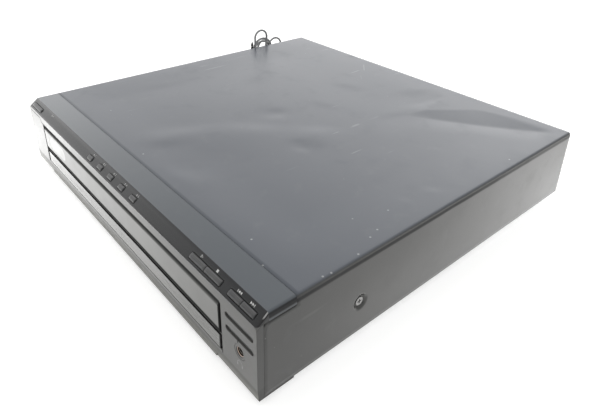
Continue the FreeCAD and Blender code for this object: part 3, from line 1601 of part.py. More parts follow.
def cord():
    """The mains cord, from the relief in the back to the plug on the table."""
    radius = "cord_diameter / 2"
    x, z = "cord_x", "cord_z"
    collar = rod("y", (x, "rear_face - chassis_wall - 3", z), "gland_radius + 1.4", "2.9")
    neck = rod("y", (x, "rear_face - chassis_wall - 0.2", z), "gland_radius - 0.1", "chassis_wall + 0.4")
    flange = rod("y", (x, "rear_face + 0.1", z), "gland_radius + 2", "2")
    taper = cone("y", (x, "rear_face + 2.1", z), "gland_radius", f"{radius} + 0.7", "relief_length - 2.1")
    node("strain_relief", fuse(collar, neck, flange, taper))
    exit_y = size("rear_face") + size("relief_length")
    hank = hank_wire()
    print("hank least self gap", round(least_self_gap(hank), 2))
    node("power_cord_hank", coded(tube(hank, "hank")))
    straight = size("cord_diameter")
    lead = [(size("cord_x"), exit_y, size("cord_z"))] + LEAD_ROUTE + [(HANK_X, HANK_Y + straight, FLOOR_Z)]
    outer_x = HANK_X - HANK_STEP * len(HANK_LOOPS)
    tail = [(outer_x, HANK_Y - straight, FLOOR_Z)] + TAIL_ROUTE
    stretches = [coded(tube(route_wire(lead, "lead"), "lead")), coded(tube(route_wire(tail, "tail"), "tail"))]
    node("power_cord_runs", group(*stretches))
    x, y, z = (str(value) for value in TAIL_ROUTE[-1])
    sleeve = cone("y", (x, f"{y} - 16", z), "5", f"{radius} + 0.7", "16")
    body = box((f"{x} - 9.5", f"{y} - 38", f"{z} - 6"), (f"{x} + 9.5", f"{y} - 14", f"{z} + 6"))
    blades = [
        box(
            (f"{x} {sign} 6.35 - 0.75", f"{y} - 54", f"{z} - 3.15"),
            (f"{x} {sign} 6.35 + 0.75", f"{y} - 38", f"{z} + 3.15"),
        )
        for sign in "-+"
    ]
    node("mains_plug", fuse(sleeve, body, *blades))


def cord_tie():
    """Flat band round the hank's waist, with its twisted end standing up in front."""
    half_y, half_z, wall = 8.3, 2.2, 0.5
    near_x, far_x = HANK_X + 1.9, HANK_X - HANK_STEP * len(HANK_LOOPS) - 0.4
    whole = box(
        (str(far_x - wall), str(HANK_Y - half_y - wall), str(WAIST_Z - half_z)),
        (str(near_x + wall), str(HANK_Y + half_y + wall), str(WAIST_Z + half_z)),
    )
    inside = box(
        (str(far_x), str(HANK_Y - half_y), str(WAIST_Z - half_z - 1)),
        (str(near_x), str(HANK_Y + half_y), str(WAIST_Z + half_z + 1)),
    )
    y, z = HANK_Y - half_y - wall, WAIST_Z
    ribbon = [
        (y + 0.2, z - 0.8),
        (y - 6.2, z + 13),
        (y - 5.4, z + 38),
        (y - 6.6, z + 41.5),
        (y - 4.4, z + 43),
        (y - 3, z + 39),
        (y - 4.4, z + 13.4),
        (y + 0.2, z + 1.6),
    ]
    tail = prism("yz", str(HANK_X - 3), str(HANK_X - 1), [(str(a), str(b)) for a, b in ribbon])
    node("cord_tie", fuse(cut(whole, inside), tail))


# Build, check and write


def build():
    fill_sheets()
    for make in (
        top_cover,
        bottom_chassis,
        rear_panel,
        feet,
        case_screws,
        front_bezel,
        display_window,
        tray_front,
        strip_keys,
        front_keys,
        key_switches,
        key_board,
        front_board,
        display_tube,
        headphone_jack,
        loading_tray,
        turntable,
        turntable_drive,
        mechanism_base,
        tray_drive,
        base_frame,
        spindle,
        sled,
        lift,
        clamp,
        boards,
        av_jacks,
        cord,
        cord_tie,
    ):
        make()
    doc.recompute()


def check():
    """Stops at any object that failed to compute and at any sub-part without a valid shape."""
    for thing in doc.Objects:
        failed = [word for word in thing.State if word in ("Invalid", "Error")]
        if failed:
            raise RuntimeError(f"{thing.Name} ({thing.Label}) is {failed}")
    for name, thing in nodes.items():
        if thing.Shape.isNull() or not thing.Shape.isValid() or not thing.Shape.Solids:
            raise RuntimeError(f"{name} has no valid solid")


def write():
    os.makedirs("parts", exist_ok=True)
    for name, thing in nodes.items():
        thing.Shape.exportStep(f"parts/{name}.step")
    print(len(nodes), "sub-parts,", sum(len(thing.Shape.Solids) for thing in nodes.values()), "solids")


build()
check()
write()
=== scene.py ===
"""Looks of a slim full-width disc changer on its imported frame.

Lengths are millimetres in the frame's axes, and they turn into metres where a mesh or curve is made."""
import math

import bmesh
import bpy
import numpy as np
from mathutils import Matrix, Vector


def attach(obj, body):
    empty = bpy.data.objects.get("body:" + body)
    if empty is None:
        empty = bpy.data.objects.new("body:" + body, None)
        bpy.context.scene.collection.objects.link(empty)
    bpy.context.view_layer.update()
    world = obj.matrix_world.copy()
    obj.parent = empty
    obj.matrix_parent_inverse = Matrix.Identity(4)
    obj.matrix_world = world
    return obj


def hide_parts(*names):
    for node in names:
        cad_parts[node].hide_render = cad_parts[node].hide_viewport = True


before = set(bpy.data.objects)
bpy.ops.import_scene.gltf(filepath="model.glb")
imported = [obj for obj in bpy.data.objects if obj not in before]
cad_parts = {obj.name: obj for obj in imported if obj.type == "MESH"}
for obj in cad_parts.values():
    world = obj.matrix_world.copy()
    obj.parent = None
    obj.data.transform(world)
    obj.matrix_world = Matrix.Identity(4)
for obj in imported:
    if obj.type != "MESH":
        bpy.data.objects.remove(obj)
bpy.context.view_layer.update()

MM = 0.001
# Case: its front face, half its width, its top above the table, and how far behind the front the cover ends.
FRONT_Y, HALF_WIDTH, CASE_TOP, COVER_END = -206.5, 215.0, 80.0, 405.0
# Outer radius of the cover's bends, and the sheet's thickness.
BEND, SHEET = 3.0, 0.8
# The key strip's lower edge and its slope, and the carousel's middle.
STRIP_LOW, STRIP_ANGLE = 72.6, math.radians(37.917)
CAROUSEL_Y = -16.5
scene = bpy.context.scene
collection = scene.collection


# Middle of the headphone socket (x, z), of the keys' row up the slope, and of disc key 1 with the keys' pitch.
SOCKET_X, SOCKET_Z = 195.7, 36.8
KEY_ROW = 4.9
DISC_KEY_X, DISC_KEY_PITCH = -47.5, 22.0


# Camera, at the photograph's place


def aim_camera():
    """Camera with its place, its three axes and its lens as worked out from the case's corners."""
    lens = bpy.data.cameras.new("camera")
    lens.sensor_width, lens.lens = 36.0, 32.877
    lens.shift_x, lens.shift_y = -0.00108, -0.13035
    lens.clip_start, lens.clip_end = 0.01, 60.0
    right = Vector((0.65290614, 0.75718046, 0.01978201))
    up = Vector((-0.34566564, 0.2746206, 0.89727297))
    back = Vector((0.67396501, -0.59267299, 0.44103275))
    camera = bpy.data.objects.new("camera", lens)
    camera.matrix_world = (
        Matrix.Translation((0.4139, -0.3494, 0.327)) @ Matrix((right, up, back)).transposed().to_4x4()
    )
    collection.objects.link(camera)
    scene.camera = camera


aim_camera()
scene.view_settings.view_transform = "Standard"


# Shader maths


class Value:
    """A socket of a finish, with Python's operators standing for Math nodes."""

    def __init__(self, finish, socket):
        self.finish, self.socket = finish, socket

    def __add__(self, other):
        return self.finish.maths("ADD", self, other)

    def __sub__(self, other):
        return self.finish.maths("SUBTRACT", self, other)

    def __rsub__(self, other):
        return self.finish.maths("SUBTRACT", other, self)

    def __mul__(self, other):
        return self.finish.maths("MULTIPLY", self, other)

    def __truediv__(self, other):
        return self.finish.maths("DIVIDE", self, other)

    def __abs__(self):
        return self.finish.maths("ABSOLUTE", self)

    __radd__ = __add__
    __rmul__ = __mul__


class Finish:
    """A material whose nodes are written as expressions."""

    def __init__(self, name, owner=None):
        self.material = owner or bpy.data.materials.new(name)
        self.material.use_nodes = True
        self.tree = self.material.node_tree
        self.tree.nodes.clear()

    def node(self, kind, settings=None, sockets=None, output=0):
        """Adds a node: its settings first, then the values or links of its sockets."""
        made = self.tree.nodes.new(kind)
        for name, value in (settings or {}).items():
            setattr(made, name, value)
        for name, value in (sockets or {}).items():
            if isinstance(value, Value):
                self.tree.links.new(value.socket, made.inputs[name])
            else:
                made.inputs[name].default_value = value
        return Value(self, made.outputs[output])

    def maths(self, operation, *values):
        """What a Math node makes of one or two values or numbers."""
        return self.node("ShaderNodeMath", {"operation": operation}, dict(enumerate(values)))

    def larger(self, first, second):
        """The larger of two values."""
        return self.maths("MAXIMUM", first, second)

    def length(self, first, second):
        """Distance covered by two steps at a right angle: the root of the sum of their squares."""
        return self.maths("SQRT", first * first + second * second)

    def place(self):
        """Object coordinates in millimetres."""
        point = self.node("ShaderNodeTexCoord", output="Object")
        scaled = {0: point, "Scale": 1000.0}
        return self.node("ShaderNodeVectorMath", {"operation": "SCALE"}, scaled)

    def axes(self):
        """The three Object coordinates in millimetres, as separate values."""
        split = self.node("ShaderNodeSeparateXYZ", sockets={0: self.place()})
        outputs = split.socket.node.outputs
        return [Value(self, outputs[i]) for i in range(3)]

    def stretched(self, x, y, z):
        """Object coordinates in millimetres, each times its own factor."""
        sockets = {0: self.place(), 1: (x, y, z)}
        return self.node("ShaderNodeVectorMath", {"operation": "MULTIPLY"}, sockets)

    def noise(self, pitch, detail=3.0, roughness=0.55, place=None):
        """Soft noise from 0 to 1 whose lumps are about pitch millimetres across."""
        sockets = {"Vector": place or self.place(), "Scale": 1.0 / pitch, "Detail": detail}
        return self.node("ShaderNodeTexNoise", None, {**sockets, "Roughness": roughness})

    def cells(self, pitch, output="Distance"):
        """Distance to the nearest of scattered points about pitch millimetres apart."""
        sockets = {"Vector": self.place(), "Scale": 1.0 / pitch}
        return self.node("ShaderNodeTexVoronoi", None, sockets, output)

    def step(self, value, low, high):
        """0 below low, 1 above high and smooth between them; falling if high is below low."""
        if high < low:
            return 1.0 - self.step(value, high, low)
        sockets = {"Value": value, "From Min": low, "From Max": high}
        return self.node("ShaderNodeMapRange", {"interpolation_type": "SMOOTHSTEP"}, sockets)

    def blend(self, factor, first, second):
        """Colour going from first to second as factor goes from 0 to 1."""
        tones = [tone if isinstance(tone, Value) else (*tone, 1.0) for tone in (first, second)]
        sockets = {0: factor, 6: tones[0], 7: tones[1]}
        return self.node("ShaderNodeMix", {"data_type": "RGBA"}, sockets, 2)

    def clouded(self, pitch, first, second):
        """Colour that drifts between two shades in soft clouds about pitch millimetres across."""
        return self.blend(self.noise(pitch), first, second)

    def bump(self, height, depth, strength=1.0, normal=None):
        """Normal of a surface raised by height times depth millimetres."""
        sockets = {"Height": height, "Distance": depth * MM, "Strength": strength}
        if normal is not None:
            sockets["Normal"] = normal
        return self.node("ShaderNodeBump", None, sockets)

    def rounded(self, radius):
        """Normal with edges rounded to a radius in millimetres."""
        return self.node("ShaderNodeBevel", {"samples": 4}, {"Radius": radius * MM})

    def close(self, base, roughness, **sockets):
        """Ends the material with its surface shader."""
        given = {"Base Color": base if isinstance(base, Value) else (*base, 1.0), "Roughness": roughness}
        given.update({name.replace("_", " "): value for name, value in sockets.items()})
        self.end_with(self.node("ShaderNodeBsdfPrincipled", None, given))
        return self.material

    def end_with(self, shader):
        """Links a shader to the material's output."""
        out = self.tree.nodes.new("ShaderNodeOutputMaterial")
        self.tree.links.new(shader.socket, out.inputs["Surface"])


def spots(finish, centres, radius):
    """Mask of small round spots at the given points, by the least of the distances to them."""
    place, least = finish.place(), 1e3
    for centre in centres:
        sockets = {0: place, 1: centre}
        gap = finish.node("ShaderNodeVectorMath", {"operation": "DISTANCE"}, sockets, "Value")
        least = finish.maths("MINIMUM", gap, least)
    return finish.step(least, radius * 1.4, radius * 0.6)


def strokes(finish, runs, width):
    """Mask of straight scratches, each from one point to another: distance to the nearest point of the run."""
    place, least = finish.place(), 1e3
    for start, end in runs:
        along = Vector(end) - Vector(start)
        offset = finish.node("ShaderNodeVectorMath", {"operation": "SUBTRACT"}, {0: place, 1: start})
        sockets = {0: offset, 1: tuple(along / along.length_squared)}
        share = finish.node("ShaderNodeVectorMath", {"operation": "DOT_PRODUCT"}, sockets, "Value")
        share = finish.node("ShaderNodeClamp", None, {0: share})
        reach = finish.node("ShaderNodeVectorMath", {"operation": "SCALE"}, {0: tuple(along), "Scale": share})
        gap = finish.node("ShaderNodeVectorMath", {"operation": "DISTANCE"}, {0: offset, 1: reach}, "Value")
        least = finish.maths("MINIMUM", gap, least)
    return finish.step(least, width, width * 0.3)


def dust(finish, base, amount):
    """Colour with thin uneven dust: large soft patches times fine specks."""
    patches = finish.step(finish.noise(38.0, 4.0), 0.42, 0.75)
    specks = finish.step(finish.cells(2.6), 0.13, 0.05) * finish.step(finish.noise(9.0), 0.5, 0.62)
    return finish.blend(patches * (0.10 * amount) + specks * (0.45 * amount), base, (0.30, 0.29, 0.27))


def hairlines(finish, pitch, turn, place=None):
    """Mask of thin short scratches that run along one direction, turned by an angle about Z."""
    turned = finish.node(
        "ShaderNodeMapping",
        {"vector_type": "POINT"},
        {"Vector": place or finish.place(), "Rotation": (0.0, 0.0, turn), "Scale": (1.0, 0.045, 1.0)},
    )
    lines = finish.step(finish.noise(pitch, 1.0, 0.4, turned), 0.735, 0.77)
    return lines * finish.step(finish.noise(30.0, 1.0), 0.52, 0.66)


# Meshes from arrays


def grid_faces(rows, columns, close_rows=False, close_columns=False):
    """Four-sided faces of a grid of points, wrapping round in either direction where asked."""
    across = np.arange(columns if close_columns else columns - 1)
    along = np.arange(rows if close_rows else rows - 1)
    i, j = np.meshgrid(along, across, indexing="ij")
    i_next, j_next = (i + 1) % rows, (j + 1) % columns
    corners = [i * columns + j, i * columns + j_next, i_next * columns + j_next, i_next * columns + j]
    return np.stack(corners, -1).reshape(-1, 4)


def show(name, mesh, body, material, replaces=()):
    """Puts a mesh in the scene as a piece that rides on a body and stands in for the named nodes."""
    piece = bpy.data.objects.new(name, mesh)
    collection.objects.link(piece)
    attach(piece, body)
    if replaces:
        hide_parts(*replaces)
    mesh.materials.clear()
    mesh.materials.append(material)
    return piece


def shade_smooth(mesh, crease):
    """Smooth shading, broken at edges sharper than the crease in degrees."""
    mesh.polygons.foreach_set("use_smooth", np.ones(len(mesh.polygons), bool))
    mesh.set_sharp_from_angle(angle=math.radians(crease))


def make_piece(name, parts, body, slot, replaces=(), crease=35.0, material=None):
    """Joins (points, faces) arrays in millimetres into one welded, outward-facing mesh that rides on a body.

    It wears the finish of its slot unless another material is given."""
    points, faces, start = [], [], 0
    for spots, polygons in parts:
        points.append(np.asarray(spots, float).reshape(-1, 3))
        faces += (np.asarray(polygons) + start).tolist()
        start += len(points[-1])
    mesh = bpy.data.meshes.new(name)
    mesh.from_pydata((np.concatenate(points) * MM).tolist(), [], faces)
    shape = bmesh.new()
    shape.from_mesh(mesh)
    bmesh.ops.remove_doubles(shape, verts=shape.verts, dist=0.004 * MM)
    bmesh.ops.dissolve_degenerate(shape, dist=0.001 * MM, edges=shape.edges)
    bmesh.ops.recalc_face_normals(shape, faces=shape.faces)
    shape.to_mesh(mesh)
    shape.free()
    shade_smooth(mesh, crease)
    return show(name, mesh, body, material or finishes[slot], replaces)


def turned(profile, origin, axis, sides):
    """Surface of a profile of (radius, height) turned round an axis: origin + height along it + radius round it."""
    profile = np.asarray(profile, float)
    axis = np.asarray(axis, float)
    first = np.cross(axis, (0.0, 0.0, 1.0) if abs(axis[2]) < 0.9 else (1.0, 0.0, 0.0))
    first /= np.linalg.norm(first)
    second = np.cross(axis, first)
    turn = np.linspace(0.0, 2 * math.pi, sides, endpoint=False)
    round_it = np.cos(turn)[:, None] * first + np.sin(turn)[:, None] * second
    points = np.asarray(origin, float) + profile[:, 1, None, None] * axis + profile[:, 0, None, None] * round_it
    return points, grid_faces(len(profile), sides, close_columns=True)


def rounded_outline(half_a, half_b, corner, steps=6):
    """Points of a rectangle with round corners, by its half sizes and its corner radius."""
    turn = np.linspace(0.0, math.pi / 2, steps)
    quarter = np.stack([np.cos(turn), np.sin(turn)], -1) * corner
    corners = [
        quarter + (half_a - corner, half_b - corner),
        quarter[::-1] * (-1, 1) + (corner - half_a, half_b - corner),
        quarter * (-1, -1) + (corner - half_a, corner - half_b),
        quarter[::-1] * (1, -1) + (half_a - corner, corner - half_b),
    ]
    return np.concatenate(corners)


def spaced(*stretches):
    """Positions along a line: each stretch (start, end, pitch) in even steps no longer than its pitch."""
    steps = [np.linspace(a, b, max(2, int(math.ceil(abs(b - a) / pitch)) + 1))[:-1] for a, b, pitch in stretches]
    return np.concatenate([*steps, [stretches[-1][1]]])


def smooth(value, low, high):
    """0 below low, 1 above high and the cubic 3t^2 - 2t^3 between them."""
    t = np.clip((value - low) / (high - low), 0.0, 1.0)
    return t * t * (3 - 2 * t)


# Cord


HANK_X, HANK_Y, HANK_STEP, FLOOR_Z, WAIST_Z, WAIST_HALF = -219.6, 123.5, 3.7, 1.6, 44.0, 3.8
TIE_X = -228.1
HANK_LOOPS = [(2, 47, 10.7, 11), (14, 28, 16.5, 10.4), (22, 24, 15.5, 11.6), (56, 43, 11.5, 10.6), (38, 30, 12, 11.2)]
LEAD = [
    (-172, 219.5, 24), (-172, 231, 24), (-175, 244, 17), (-181, 254, 8), (-192, 262, 2.2), (-206, 266, 1.6),
    (-220, 263, 1.6), (-230, 253, 1.6), (-235, 239, 1.6), (-235.5, 223, 1.6), (-232, 206, 1.6), (-227, 189, 1.6),
    (-222.5, 171, 1.6), (-220, 154, 1.6), (-219.6, 139, 1.6), (-219.6, 127, 1.6),
]
TAIL = [
    (-238.1, 120.5, 1.6), (-238.1, 109, 1.6), (-240, 96, 1.6), (-243.5, 84, 2.3), (-246.8, 72, 4.2),
    (-248.5, 60, 6.1), (-248.5, 48, 6.1),
]


def hank_turn(number):
    """Points of one turn of the hank: low front quarter, front leg, fold, back leg, low back quarter.

    The turn's axis rises to the waist and bends there to its lean over 32 mm. The legs run beside it at a half
    width that eases by a cosine from the low turn's radius to the waist's and on to the fold's. A round part of
    radius r takes its points at r over the cosine of half their step. Down the back leg x moves to the next place."""
    lean, reach, top, low = HANK_LOOPS[number]
    next_low = HANK_LOOPS[min(number + 1, len(HANK_LOOPS) - 1)][3]
    station = np.linspace(-40.0, reach, 300)
    angle = math.radians(lean) * smooth(station, -16.0, 16.0)
    axis = np.cumsum(np.stack([np.sin(angle), np.cos(angle)], -1), 0) * (station[1] - station[0])
    axis += (HANK_Y - axis[0, 0], WAIST_Z - axis[np.abs(station).argmin(), 1])

    def leg(side, foot):
        """Points beside the axis from the low turn to the fold, on one side of it."""
        depth = WAIST_Z - FLOOR_Z - foot
        spots = np.linspace(3.0 - depth, reach - 3.0, int(round((depth + reach) / 6.5)))
        place = np.stack([np.interp(spots, station, axis[:, i]) for i in range(2)], -1)
        turn = np.interp(spots, station, angle)[:, None]
        end = np.where(spots > 0, reach, depth)
        width = np.where(spots > 0, top, foot) - WAIST_HALF
        half = WAIST_HALF + width * (1 - np.cos(math.pi * np.abs(spots) / end)) / 2
        return place + side * half[:, None] * np.column_stack([np.cos(turn), -np.sin(turn)])

    front, behind = leg(-1, low), leg(1, next_low)[::-1]

    def round_part(centre, radius, start, end, count):
        """Points round a centre from one angle to another, in degrees."""
        turn = np.radians(np.linspace(start, end, count))
        outer = radius / math.cos(math.radians(abs(end - start) / (count - 1) / 2))
        return centre + outer * np.stack([np.cos(turn), np.sin(turn)], -1)

    fold = [-math.degrees(angle[-1]) + 165, -math.degrees(angle[-1]) + 15, 6]
    parts = [
        round_part(np.array([HANK_Y, FLOOR_Z + low]), low, -105, -165, 3),
        front,
        round_part(axis[-1], top, *fold),
        behind,
        round_part(np.array([HANK_Y, FLOOR_Z + next_low]), next_low, -15, -75, 3),
    ]
    over = np.concatenate([np.zeros(9 + len(front)), smooth(-behind[:, 1], -WAIST_Z - 4.0, -12.0), np.ones(3)])
    return np.column_stack([HANK_X - HANK_STEP * (number + over), np.concatenate(parts)])


def mains_cord():
    """The cord as one spline: from the relief round the corner, through the hank's turns, and to the plug."""
    turns = [hank_turn(number) for number in range(len(HANK_LOOPS))]
    route = np.concatenate([LEAD, *turns, TAIL])
    curve = bpy.data.curves.new("mains_cord", "CURVE")
    curve.dimensions = "3D"
    line = curve.splines.new("NURBS")
    line.points.add(len(route) - 1)
    line.points.foreach_set("co", np.column_stack([route * MM, np.ones(len(route))]).ravel())
    line.points.foreach_set("radius", np.full(len(route), 1.5 * MM))
    line.order_u, line.use_endpoint_u, line.resolution_u = 3, True, 8
    curve.bevel_depth, curve.bevel_resolution, curve.use_fill_caps = 1.0, 3, True
    cord = bpy.data.objects.new("mains_cord", curve)
    collection.objects.link(cord)
    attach(cord, "case")
    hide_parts("power_cord_hank", "power_cord_runs")
    return cord


cord = mains_cord()


# Finishes


# Marks on the top: x, distance behind the front, half length, half width, turn in degrees, and how much
# lighter (above 0) or darker (below 0) the spot looks from the front right.
TOP_MARKS = [
    (-21, 202, 12, 8, 60, -0.7), (-7, 192, 15, 7, 60, 0.6), (62, 178, 19, 13, 55, -0.55), (67, 163, 10, 6, 20, 0.6),
    (51, 173, 8, 4, 60, -0.5), (44, 205, 26, 12, 48, 0.5), (0, 158, 34, 13, 46, 0.6), (-38, 98, 34, 14, 62, 0.65),
    (-25, 68, 20, 11, 62, -0.7), (15, 108, 46, 34, 40, -0.35), (38, 52, 27, 13, 30, 0.6), (43, 362, 26, 11, 72, -0.6),
    (71, 297, 20, 7, 80, -0.6), (-22, 315, 22, 9, 25, -0.45), (2, 253, 18, 8, 20, -0.4), (-150, 300, 60, 30, 40, 0.12),
    (-160, 140, 34, 9, 80, -0.3), (-169, 79, 11, 4, 10, -0.3), (192, 203, 8, 5, 45, 0.7), (202, 222, 7, 4, 60, -0.6),
    (186, 172, 6, 4, 30, 0.5), (203, 237, 6, 4, 30, 0.5), (147, 267, 5, 3, 30, 0.5), (108, 176, 6, 4, 40, -0.4),
    (120, 60, 50, 22, 15, 0.1), (100, 240, 40, 20, 60, -0.15), (-90, 200, 60, 30, 50, 0.10),
]
TOP_SPECKS = [
    (147, 267), (45, 204), (203, 113), (178, 33), (200, 124), (212, 57), (213, 64), (211, 92), (92, 153), (-107, 241),
    (100, 103), (178, 120), (-60, 300), (-17, 42), (60, 92), (205, 302), (188, 150), (150, 44), (30, 330), (-130, 60),
]
TOP_SCRATCHES = [
    (10, 307, 25, 287), (-107, 267, -92, 257), (-55, 333, -43, 322), (-63, 388, -48, 373), (-37, 355, -28, 347),
    (63, 198, 77, 175), (95, 150, 99, 147), (38, 232, 42, 224),
]


def cover_paint():
    """Dark satin paint on sheet metal: fine orange peel, faint cloudy dust, rubbed spots and hairline scratches, with
    painted shade along the bends, on the sides towards the front and in a thin line round each tongue's corner.
    """
    look = Finish("cover_paint")
    wear = spots(look, [(x, FRONT_Y + p, CASE_TOP) for x, p in TOP_SPECKS], 0.8)
    runs = [((x1, FRONT_Y + p1, CASE_TOP), (x2, FRONT_Y + p2, CASE_TOP)) for x1, p1, x2, p2 in TOP_SCRATCHES]
    wear = look.larger(wear * 0.6, strokes(look, runs, 0.7) * 0.3)
    clouds = look.noise(120.0, 3.0)
    base = look.blend(clouds, (0.063, 0.071, 0.086), (0.074, 0.084, 0.101))
    x, y, z = look.axes()
    side = look.larger(look.step(abs(x), 213.2, 214.9), look.step(z, 70.0, 68.0))
    flank = look.blend(clouds, (0.062, 0.062, 0.059), (0.076, 0.076, 0.072))
    # Painted shade: the sides darken towards the front.
    flank = look.blend(look.step(y, FRONT_Y + 120.0, FRONT_Y + 10.0) * 0.6, flank, (0.026, 0.026, 0.025))
    base = look.blend(side, base, flank)
    # Painted shade: a dark line along each bend between top and sides, a third fainter towards the rear.
    bend = look.step(abs(x), 213.2, 214.2) * look.step(z, 73.0, 75.2) * look.step(z, 78.4, 76.8)
    bend = bend * (1.0 - look.step(y, -20.0, 140.0) * 0.35)
    base = look.blend(bend * 0.9, base, (0.010, 0.010, 0.011))
    # Painted shade: a thin dark line round each tongue's upper front corner, where it meets the moulding.
    depth = y - FRONT_Y
    inset = look.larger(15.2 - depth, 0.0)
    drop = look.larger(z - 63.6, 0.0)
    outline = abs(8.6 - look.length(inset, drop))
    outline = look.step(outline, 0.75, 0.3) * look.step(depth, 32.8, 32.3) * look.step(abs(x), 214.0, 214.6)
    base = look.blend(outline * look.step(z, 50.0, 64.0) * 0.5, base, (0.008, 0.008, 0.008))
    base = look.blend(look.step(look.noise(16.0, 4.0), 0.55, 0.8) * 0.12, base, (0.15, 0.155, 0.16))
    specks = look.step(look.cells(6.5), 0.075, 0.03) * look.step(look.noise(40.0, 2.0), 0.56, 0.66)
    lines = look.larger(hairlines(look, 5.0, 0.9), hairlines(look, 7.0, -0.7))
    base = look.blend(look.larger(specks * 0.5, lines * (0.16 - side * 0.11)), base, (0.42, 0.43, 0.43))
    base = look.blend(wear, base, (0.40, 0.41, 0.41))
    peel = look.noise(0.9, 2.0) * 0.6 + look.noise(3.2, 2.0) * 0.4
    normal = look.bump(peel - lines * (0.8 - side * 0.6), 0.035, 0.7)
    roughness = 0.29 + bend * 0.4 + clouds * 0.07 + look.step(look.noise(22.0, 3.0), 0.5, 0.8) * 0.06 + wear * 0.15
    return look.close(base, roughness, Normal=normal, IOR=1.52)


# Narrow grooves in the moulding's face, drawn only as painted shade: x and z of the two ends of each run.
MOULDING_GROOVES = [
    (-210, 69.7, -181, 69.7), (-181, 69.7, -178.6, 65.6), (-178.6, 65.2, -172, 64.6), (193.7, 45.4, 193.7, 43.9),
]


def front_moulding():
    """Front moulding: satin face, glossy near-black key strip, top band like the cover, and a dusty lip below, with
    painted shade on its ends, its top arms, its seams, round the door's opening and in its grooves, and a painted
    highlight at the strip's ends.
    """
    look = Finish("front_moulding")
    x, y, z = look.axes()
    depth = y - FRONT_Y
    # The strip rises from z 72.6 to the band, which starts 9.6 behind the front; the lip's top is near z 18.
    strip = look.step(z, 72.4, 72.7) * look.step(depth, 9.9, 9.3)
    band = look.step(depth, 9.3, 9.9) * look.step(z, 72.6, 73.2)
    lip = look.step(z, 18.6, 16.8) * look.step(depth, 9.0, 7.0)
    grain = look.noise(0.55, 2.0)
    clouds = look.noise(60.0, 3.0)
    face = look.blend(clouds, (0.096, 0.096, 0.092), (0.114, 0.114, 0.109))
    face = dust(look, face, 0.9)
    grime = look.blend(look.noise(5.0, 4.0), (0.080, 0.080, 0.075), (0.130, 0.129, 0.120))
    powder = look.blend(look.noise(4.0, 4.0), (0.155, 0.154, 0.143), (0.260, 0.257, 0.240))
    face = look.blend(lip, face, look.blend(look.step(z, 15.0, 9.0), grime, powder))
    top = look.blend(clouds, (0.064, 0.074, 0.084), (0.075, 0.086, 0.098))
    # Painted shade: the moulding's two end faces are much darker than its front.
    ends = look.step(abs(x), 214.6, 214.9)
    face = look.blend(ends, face, look.blend(clouds, (0.038, 0.038, 0.036), (0.048, 0.048, 0.046)))
    black = look.clouded(25.0, (0.009, 0.010, 0.011), (0.014, 0.015, 0.016))
    corner = look.step(abs(x), 211.5, 213.0) * strip
    top = look.blend(look.step(look.noise(16.0, 4.0), 0.55, 0.8) * 0.08, top, (0.15, 0.155, 0.16))
    base = look.blend(band, look.blend(strip, face, black), top)
    # Headphones printed under the socket: a half hoop and two cups.
    across = x - 195.4
    gap = look.length(across, z - 25.4)
    hoop = look.step(abs(gap - 2.8), 0.34, 0.14) * look.step(z, 25.0, 25.3)
    cups = look.step(abs(abs(across) - 2.6), 0.7, 0.45) * look.step(abs(z - 24.4), 1.25, 0.95)
    phones = look.larger(hoop, cups) * look.step(depth, 1.0, 0.5)
    base = look.blend(phones * 0.4, base, (0.42, 0.42, 0.41))
    # Painted shade: a dark band along each top arm and over the strip's rounded corners.
    arm = look.step(abs(x), 213.4, 214.4) * look.step(z, 73.8, 75.8) * look.step(z, 79.5, 78.5)
    arm = look.larger(corner * 0.85, arm * look.step(depth, 6.0, 9.5) * 0.95)
    base = look.blend(arm, base, (0.010, 0.010, 0.011))
    # Painted shade: a dark rim round the opening for door and window, and dark lines standing for the narrow grooves.
    rim = look.step(z, 65.3, 64.8) * look.step(z, 17.6, 18.2)
    rim = rim * look.step(x, 174.9, 174.5) * look.step(x + z, 238.6, 238.0)
    rim = rim * look.larger(look.step(z, 63.0, 63.3), look.step(x, 173.6, 173.9))
    rim = rim * look.step(x, -175.0, -174.4)
    groove = strokes(look, [((x1, FRONT_Y, z1), (x2, FRONT_Y, z2)) for x1, z1, x2, z2 in MOULDING_GROOVES], 0.75)
    groove = look.larger(groove, rim) * look.step(depth, 2.4, 2.0) * look.step(z, 72.0, 71.5)
    base = look.blend(groove * 0.96, base, (0.006, 0.006, 0.006))
    # Painted highlight: a pale short line on the strip's rounded corners at both ends.
    rub = strip * look.step(abs(abs(x) - 213.9), 0.5, 0.2) * look.step(z, 75.9, 77.2)
    base = look.blend(rub * 0.7, base, (0.50, 0.50, 0.49))
    # Painted shadow: dark lines in the seams behind the band and arms and across the end faces.
    seam = look.larger(look.step(depth, 31.7, 32.0), ends * look.step(depth, 5.0, 5.3))
    base = look.blend(seam * 0.35, base, (0.006, 0.006, 0.006))
    roughness = 0.34 - strip * 0.16 + lip * 0.15 - band * 0.03 + (look.noise(12.0) - 0.5) * (1.0 - band) * 0.08
    roughness = roughness + look.larger(groove, arm * (1.0 - strip)) * 0.5
    normal = look.bump(grain * (1.0 - band * 0.95), 0.02, 0.6)
    return look.close(base, roughness, Normal=normal)


